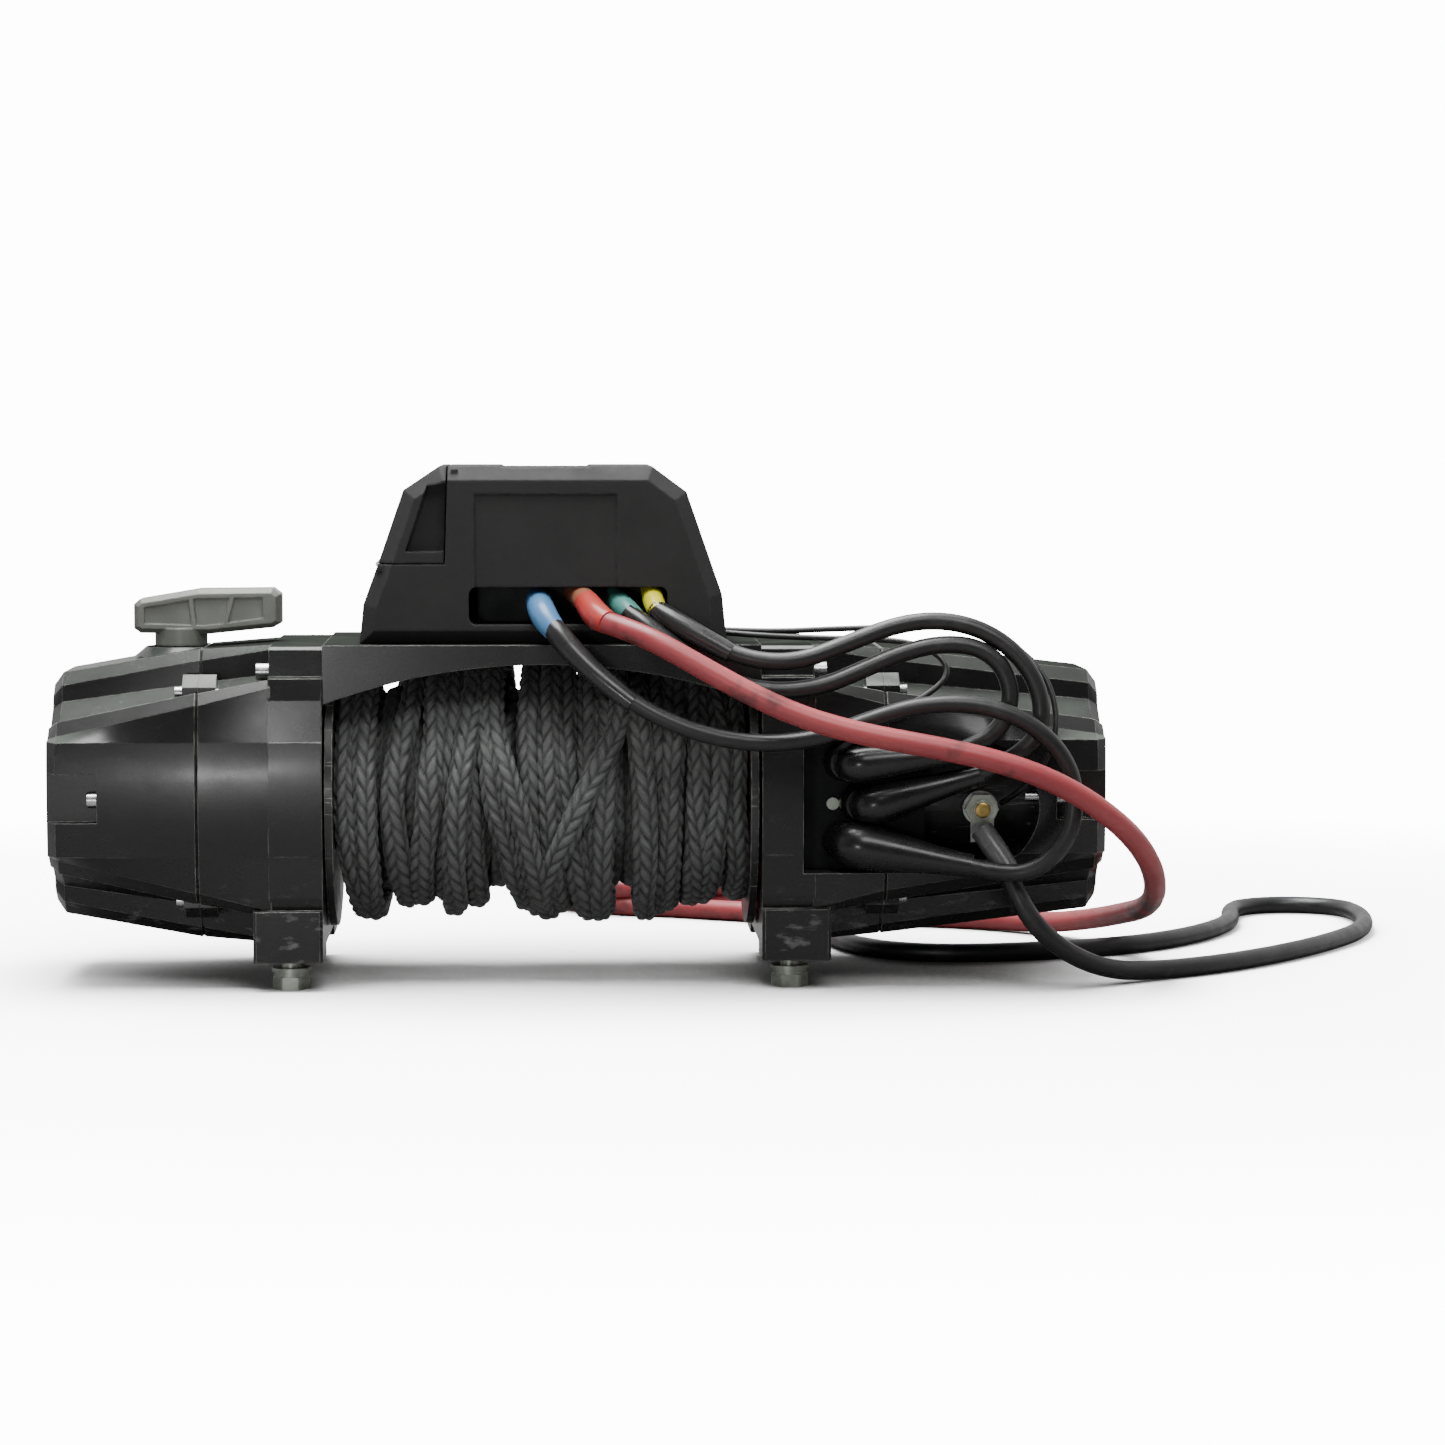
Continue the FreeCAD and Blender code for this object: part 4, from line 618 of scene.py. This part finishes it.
def moulded(name, low, high, rough, patch=30, grain=1500, bump=0.25, gloss=0.5, coat=0.0,
            edge=None, round_by=0.7, dust=None, scratch=0.0, uneven=0.08, scuffs=None):
    """A solid piece's finish: patchy colour and grain. Where they are asked for, it has rounded worn
    edges, dust on the slopes that face up, scuffs low down, and upright scratches."""
    f = Finish(name)
    normal, near_edge = f.edges(round_by * MM) if round_by else (None, 0.0)
    patches = f.span(f.noise(patch, 4), 0.3, 0.7)
    colour = f.blend(patches, low, high)
    fine = f.noise(grain, 2)
    rough_here = f.span(f.noise(patch * 3, 5), 0.25, 0.75, rough - uneven, rough + uneven)
    if dust:
        slope = f.upward()
        tilted = f.span(slope, 0.95, 0.99, 1.0, 0.0)
        holds = f.times(f.span(slope, 0.62, 0.86), f.span(tilted, 0.0, 1.0, 0.35, 1.0))
        dusty = f.times(holds, f.span(f.noise(patch * 2.5, 6), 0.25, 0.8, 0.35, 1.0))
        colour = f.blend(dusty, colour, dust)
        gloss = f.times(f.span(dusty, 0.1, 0.8, gloss, gloss * 0.4), tilted)
        coat = f.times(f.span(dusty, 0.1, 0.8, coat, 0.0), tilted)
    if edge:
        wear_and_sheen = f.times(near_edge, f.span(f.noise(patch * 5, 5), 0.35, 0.65, 0.15, 0.9))
        colour = f.blend(wear_and_sheen, colour, edge)
    if scuffs:
        height = f.node("ShaderNodeSeparateXYZ", {0: f.place}).outputs["Z"]
        low_down = f.span(height, 40 * MM, 5 * MM, 0.03, 1.0)
        rubbed = f.span(f.noise(85, 9, stretch=(1.0, 1.0, 2.2)), 0.58, 0.70)
        colour = f.blend(f.times(f.times(low_down, rubbed), 0.75), colour, scuffs)
    if scratch:
        lines = f.span(f.noise(60, 8, stretch=(1.0, 1.0, 14.0)), 0.62, 0.72)
        colour = f.blend(f.times(lines, scratch), colour, edge)
    return f.wear(
        Base_Color=colour, Roughness=rough_here, Specular_IOR_Level=gloss,
        Coat_Weight=coat, Coat_Roughness=0.12, Normal=f.bump(fine, bump, 0.1 * MM, normal),
    )


def rope_fibre():
    """Charcoal braid: fibres along each stitch, painted shade between the stitches, a waxy shine on their
    crowns.
    """
    f = Finish("rope_fibre")
    stitches = f.node("ShaderNodeUVMap", uv_map="stitches").outputs["UV"]
    crown = f.node("ShaderNodeAttribute", attribute_name="crown").outputs["Fac"]
    fibres = f.noise(1.0, 3, stretch=(26.0, 1.3, 1.0), place=stitches)
    tufts = f.noise(1.0, 2, place=stitches)
    # Painted sheen: some stretches of the rope are lighter in colour, standing in for a waxy shine.
    wear_and_sheen = f.span(f.noise(17, 5), 0.35, 0.65)
    fuzz = f.noise(1900, 4)
    colour = f.blend(wear_and_sheen, grey(0.042, (0.98, 1.02, 1.0)), grey(0.105, (0.96, 1.02, 0.99)))
    colour = f.blend(f.span(fibres, 0.38, 0.68, 0.0, 0.6), colour, grey(0.25, (0.97, 1.0, 0.98)))
    colour = f.blend(f.span(tufts, 0.45, 0.75, 0.0, 0.5), colour, grey(0.15, (0.97, 1.0, 0.99)))
    colour = f.blend(f.span(fuzz, 0.5, 0.8, 0.0, 0.5), colour, grey(0.015))
    # Painted shade: the colour darkens towards the seams between the stitches, where the crown is low.
    colour = f.blend(f.span(crown, 0.0, 0.75, 1.0, 0.0), colour, grey(0.006))
    normal = f.bump(fuzz, 0.5, 0.3 * MM, f.bump(fibres, 0.8, 0.45 * MM))
    return f.wear(
        Base_Color=colour, Roughness=f.span(fibres, 0.3, 0.7, 0.34, 0.6), Normal=normal,
        Specular_IOR_Level=0.5, Sheen_Weight=0.15, Sheen_Roughness=0.4,
    )


def jacket(name, low, high, rough, scuff, amount=0.5, rubbed=0.60):
    """A cable's jacket: soft sheen, faint draw lines, and scuffs."""
    f = Finish(name)
    colour = f.blend(f.span(f.noise(22, 4), 0.3, 0.7), low, high)
    scuffs = f.span(f.noise(38, 9, stretch=(1.0, 0.45, 1.0)), rubbed, rubbed + 0.08, 0.0, amount)
    colour = f.blend(scuffs, colour, scuff)
    rough_here = f.span(f.noise(90, 5), 0.25, 0.75, rough - 0.08, rough + 0.1)
    normal = f.bump(f.noise(240, 4), 0.25, 0.25 * MM)
    return f.wear(
        Base_Color=colour, Roughness=rough_here, Normal=normal, Specular_IOR_Level=0.5,
        Coat_Weight=0.12, Coat_Roughness=0.25,
    )


def bare_metal(name, colour, rough, tarnish, grain=500):
    """Plated or machined metal with tool marks, tarnish and brighter edges."""
    f = Finish(name)
    normal, near_edge = f.edges(0.35 * MM)
    tone = f.blend(f.span(f.noise(120, 5), 0.3, 0.75), colour, tarnish)
    tone = f.blend(f.times(near_edge, 0.6), tone, grey(0.8))
    marks = f.noise(grain, 3, stretch=(1.0, 1.0, 5.0))
    return f.wear(
        Base_Color=tone, Metallic=1.0, Roughness=f.span(marks, 0.3, 0.7, rough - 0.08, rough + 0.12),
        Normal=f.bump(marks, 0.2, 0.06 * MM, normal),
    )


OLIVE = (1.0, 1.05, 0.93)
MOSS = (0.92, 1.06, 0.90)
case_paint = moulded(
    "case_paint", grey(0.008), grey(0.012), 0.26, patch=18, grain=420, bump=0.1, gloss=0.38, coat=0.1,
    edge=grey(0.30, OLIVE), dust=grey(0.085, MOSS), round_by=0.9, uneven=0.03, scuffs=grey(0.16),
)
pack_plastic = moulded(
    "pack_plastic", grey(0.026), grey(0.032), 0.62, patch=26, grain=2600, bump=0.3, gloss=0.16,
    edge=grey(0.06), round_by=1.6,
)
lever_plastic = moulded(
    "lever_plastic", grey(0.125, OLIVE), grey(0.165, OLIVE), 0.42, patch=40, grain=1800, bump=0.2,
    edge=grey(0.32, OLIVE), dust=grey(0.24, OLIVE), round_by=1.2,
)
drum_paint = moulded(
    "drum_paint", grey(0.016), grey(0.03), 0.35, patch=40, grain=700, bump=0.15,
    edge=grey(0.55, OLIVE), dust=grey(0.07), scratch=0.4,
)
inner_plastic = moulded(
    "inner_plastic", grey(0.003), grey(0.005), 0.5, grain=1200, gloss=0.2, edge=grey(0.015),
)
board_green = moulded("board_green", (0.01, 0.09, 0.03, 1), (0.015, 0.13, 0.045, 1), 0.35, grain=900)
magnet_black = moulded("magnet_black", grey(0.035), grey(0.06), 0.6, grain=900, edge=grey(0.15))
soft_black = moulded(
    "soft_black", grey(0.008), grey(0.012), 0.30, patch=35, grain=45, bump=0.15, gloss=0.45, coat=0.1,
    round_by=0,
)
shrink_black = moulded(
    "shrink_black", grey(0.016), grey(0.026), 0.30, patch=60, grain=110, bump=0.5, gloss=0.45,
    coat=0.15, round_by=0,
)
brass = bare_metal("brass", (0.50, 0.36, 0.12, 1), 0.38, (0.30, 0.20, 0.07, 1))
zinc = bare_metal("zinc", grey(0.50, (0.96, 1.03, 0.92)), 0.36, grey(0.28, (0.98, 1.05, 0.85)))
steel = bare_metal("steel", grey(0.60), 0.26, grey(0.42))
gear_steel = bare_metal("gear_steel", grey(0.34), 0.32, grey(0.20, (1.05, 1.0, 0.92)))
bronze = bare_metal("bronze", (0.55, 0.34, 0.13, 1), 0.34, (0.33, 0.20, 0.08, 1))
copper = bare_metal("copper", (0.62, 0.28, 0.14, 1), 0.35, (0.30, 0.12, 0.06, 1))
tinned = bare_metal("tinned", grey(0.52), 0.38, grey(0.30))
black_jacket = jacket("black_jacket", grey(0.008), grey(0.012), 0.42, grey(0.045), 0.4)
red_jacket = jacket(
    "red_jacket", (0.31, 0.042, 0.050, 1), (0.39, 0.062, 0.066, 1), 0.42, (0.06, 0.02, 0.02, 1), 0.7,
    rubbed=0.57,
)
grey_shrink = jacket("grey_shrink", grey(0.07), grey(0.10), 0.3, grey(0.22), 0.6)
BOOT_COLOURS = {
    "blue": ((0.075, 0.21, 0.43, 1), (0.11, 0.28, 0.52, 1)),
    "brown": ((0.28, 0.10, 0.055, 1), (0.38, 0.15, 0.08, 1)),
    "red": ((0.42, 0.035, 0.03, 1), (0.55, 0.07, 0.05, 1)),
    "teal": ((0.05, 0.22, 0.19, 1), (0.08, 0.30, 0.26, 1)),
    "yellow": ((0.62, 0.56, 0.01, 1), (0.74, 0.68, 0.02, 1)),
}

FINISH_OF_SLOT = {
    "black_paint": case_paint,
    "matte_black": pack_plastic,
    "olive_plastic": lever_plastic,
    "bright_steel": steel,
    "gear_steel": gear_steel,
    "zinc": zinc,
    "bronze": bronze,
    "drum_paint": drum_paint,
    "copper_wound": copper,
    "magnet": magnet_black,
    "terminal_board": inner_plastic,
    "case_plastic": inner_plastic,
    "board": board_green,
    "lug_tin": tinned,
    "black_cable": black_jacket,
    "red_cable": red_jacket,
    "glossy_rubber": soft_black,
    "boots": soft_black,
    "rope_fibre": drum_paint,
}


def dress(piece, material):
    piece.data.materials.clear()
    piece.data.materials.append(material)


def dress_everything():
    for part in frame["record"]["subparts"]:
        node = NODES[part["node"]]
        finish = FINISH_OF_SLOT[part["material_slot"]]
        if not node.material_slots:
            node.data.materials.append(finish)
        for place in node.material_slots:
            place.material = finish
    fibre = rope_fibre()
    for piece in rope_pieces:
        dress(piece, fibre)
    dress(red_cable, red_jacket)
    for piece in [black_cable] + motor_leads + signal_wires:
        dress(piece, black_jacket)
    for piece in terminal_boots + boot_bases:
        dress(piece, soft_black)
    dress(brass_end, brass)
    for piece in shrink_sleeves:
        dress(piece, shrink_black)
    dress(crimp_sleeve, grey_shrink)
    for name, piece in slot_boots.items():
        low, high = BOOT_COLOURS[name]
        dress(piece, jacket(f"{name}_sleeve", low, high, 0.38, grey(0.05), 0.25))


dress_everything()


# ---- floor and light ----------------------------------------------------------------------
# The paper backdrop is overexposed, as in a cut-out product picture: what it sends onto the
# object is far less than what it shows.
FLOOR_SEEN = 3.2
FLOOR_LIGHTS = 0.20
FLOOR_HALF = 40
PAINTED_SHADOW_REACH = 0.22
BACKDROP_SEEN = 14.0
MIDDLE = (0.05, 0.05, 0)
WHITE_OUT = (0.20, 0.85)       # how far from the middle, in metres, the paper starts to burn out and has
SKY_FRONT = 0.12
SKY_BACK = 1.0


def make_floor():
    mesh = bpy.data.meshes.new("floor")
    corners = [(x * FLOOR_HALF, y * FLOOR_HALF, FLOOR_Z) for x, y in ((-1, -1), (1, -1), (1, 1), (-1, 1))]
    mesh.from_pydata(corners, [], [(0, 1, 2, 3)])
    floor = bpy.data.objects.new("floor", mesh)
    bpy.context.scene.collection.objects.link(floor)
    f = Finish("floor")
    seen = f.node("ShaderNodeLightPath").outputs["Is Camera Ray"]
    # Painted shadow: the floor's colour as the camera sees it is darkened by ambient occlusion near the
    # winch, on top of the shadows that the lamps cast.
    near = f.node("ShaderNodeAmbientOcclusion", {"Distance": PAINTED_SHADOW_REACH}, samples=16).outputs["AO"]
    painted_shadow = f.span(near, 0.15, 1.0, 0.10, 1.0)
    tone = f.blend(f.noise(3, 2), grey(FLOOR_SEEN * 0.97), grey(FLOOR_SEEN))
    tone = f.blend(painted_shadow, grey(0.0), tone)
    paper = f.node("ShaderNodeBsdfDiffuse", {"Color": f.blend(seen, grey(FLOOR_LIGHTS), tone)})
    glow = f.node("ShaderNodeEmission", {"Color": grey(1.0), "Strength": BACKDROP_SEEN})
    off_centre = f.node("ShaderNodeVectorMath", {0: f.place, 1: MIDDLE}, operation="SUBTRACT").outputs[0]
    away = f.node("ShaderNodeVectorMath", {0: off_centre, 1: (0.8, 1, 1)}, operation="MULTIPLY").outputs[0]
    distance = f.node("ShaderNodeVectorMath", {0: away}, operation="LENGTH").outputs["Value"]
    burnt = f.times(f.span(distance, *WHITE_OUT), seen)
    mixed = {0: f.times(burnt, burnt), 1: paper.outputs[0], 2: glow.outputs[0]}
    shown = f.node("ShaderNodeMixShader", mixed)
    output = f.tree.nodes["Material Output"]
    f.tree.links.new(shown.outputs[0], output.inputs["Surface"])
    mesh.materials.append(f.material)
    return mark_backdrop(floor)


def softbox(name, place, aim, wide, tall, power):
    data = bpy.data.lights.new(name, "AREA")
    data.shape = "RECTANGLE"
    data.size = wide
    data.size_y = tall
    data.energy = power
    lamp = bpy.data.objects.new(name, data)
    lamp.location = place
    lamp.rotation_euler = (Vector(aim) - Vector(place)).to_track_quat("-Z", "Y").to_euler()
    lamp.visible_camera = False
    bpy.context.scene.collection.objects.link(lamp)


def make_world():
    """Light all round, dimmer on the side that the front of the winch reflects, and white where seen."""
    world = bpy.data.worlds.new("studio")
    bpy.context.scene.world = world
    world.use_nodes = True
    tree = world.node_tree
    sky = tree.nodes["Background"]
    sky.inputs["Color"].default_value = (1, 1, 1, 1)
    direction = tree.nodes.new("ShaderNodeTexCoord").outputs["Generated"]
    split = tree.nodes.new("ShaderNodeSeparateXYZ")
    tree.links.new(direction, split.inputs[0])
    dim = tree.nodes.new("ShaderNodeMapRange")
    tree.links.new(split.outputs["Y"], dim.inputs["Value"])
    for key, value in (("From Min", -0.6), ("From Max", 0.3), ("To Min", SKY_FRONT), ("To Max", SKY_BACK)):
        dim.inputs[key].default_value = value
    white = tree.nodes.new("ShaderNodeBackground")
    white.inputs["Color"].default_value = (1, 1, 1, 1)
    white.inputs["Strength"].default_value = BACKDROP_SEEN
    choose = tree.nodes.new("ShaderNodeMixShader")
    seen = tree.nodes.new("ShaderNodeLightPath").outputs["Is Camera Ray"]
    tree.links.new(dim.outputs["Result"], sky.inputs["Strength"])
    tree.links.new(seen, choose.inputs[0])
    tree.links.new(sky.outputs[0], choose.inputs[1])
    tree.links.new(white.outputs[0], choose.inputs[2])
    tree.links.new(choose.outputs[0], tree.nodes["World Output"].inputs["Surface"])


make_floor()
make_world()
softbox("overhead", (-0.15, 0.05, 1.7), (0, 0, 0), 1.6, 0.9, 80)
softbox("front_strip", (-0.285, -1.2, 0.125), (-0.18, 0, 0.135), 0.17, 0.045, 1.4)
softbox("front_fill", (0.5, -1.9, 1.9), (0.05, 0, 0.1), 1.2, 0.8, 24)
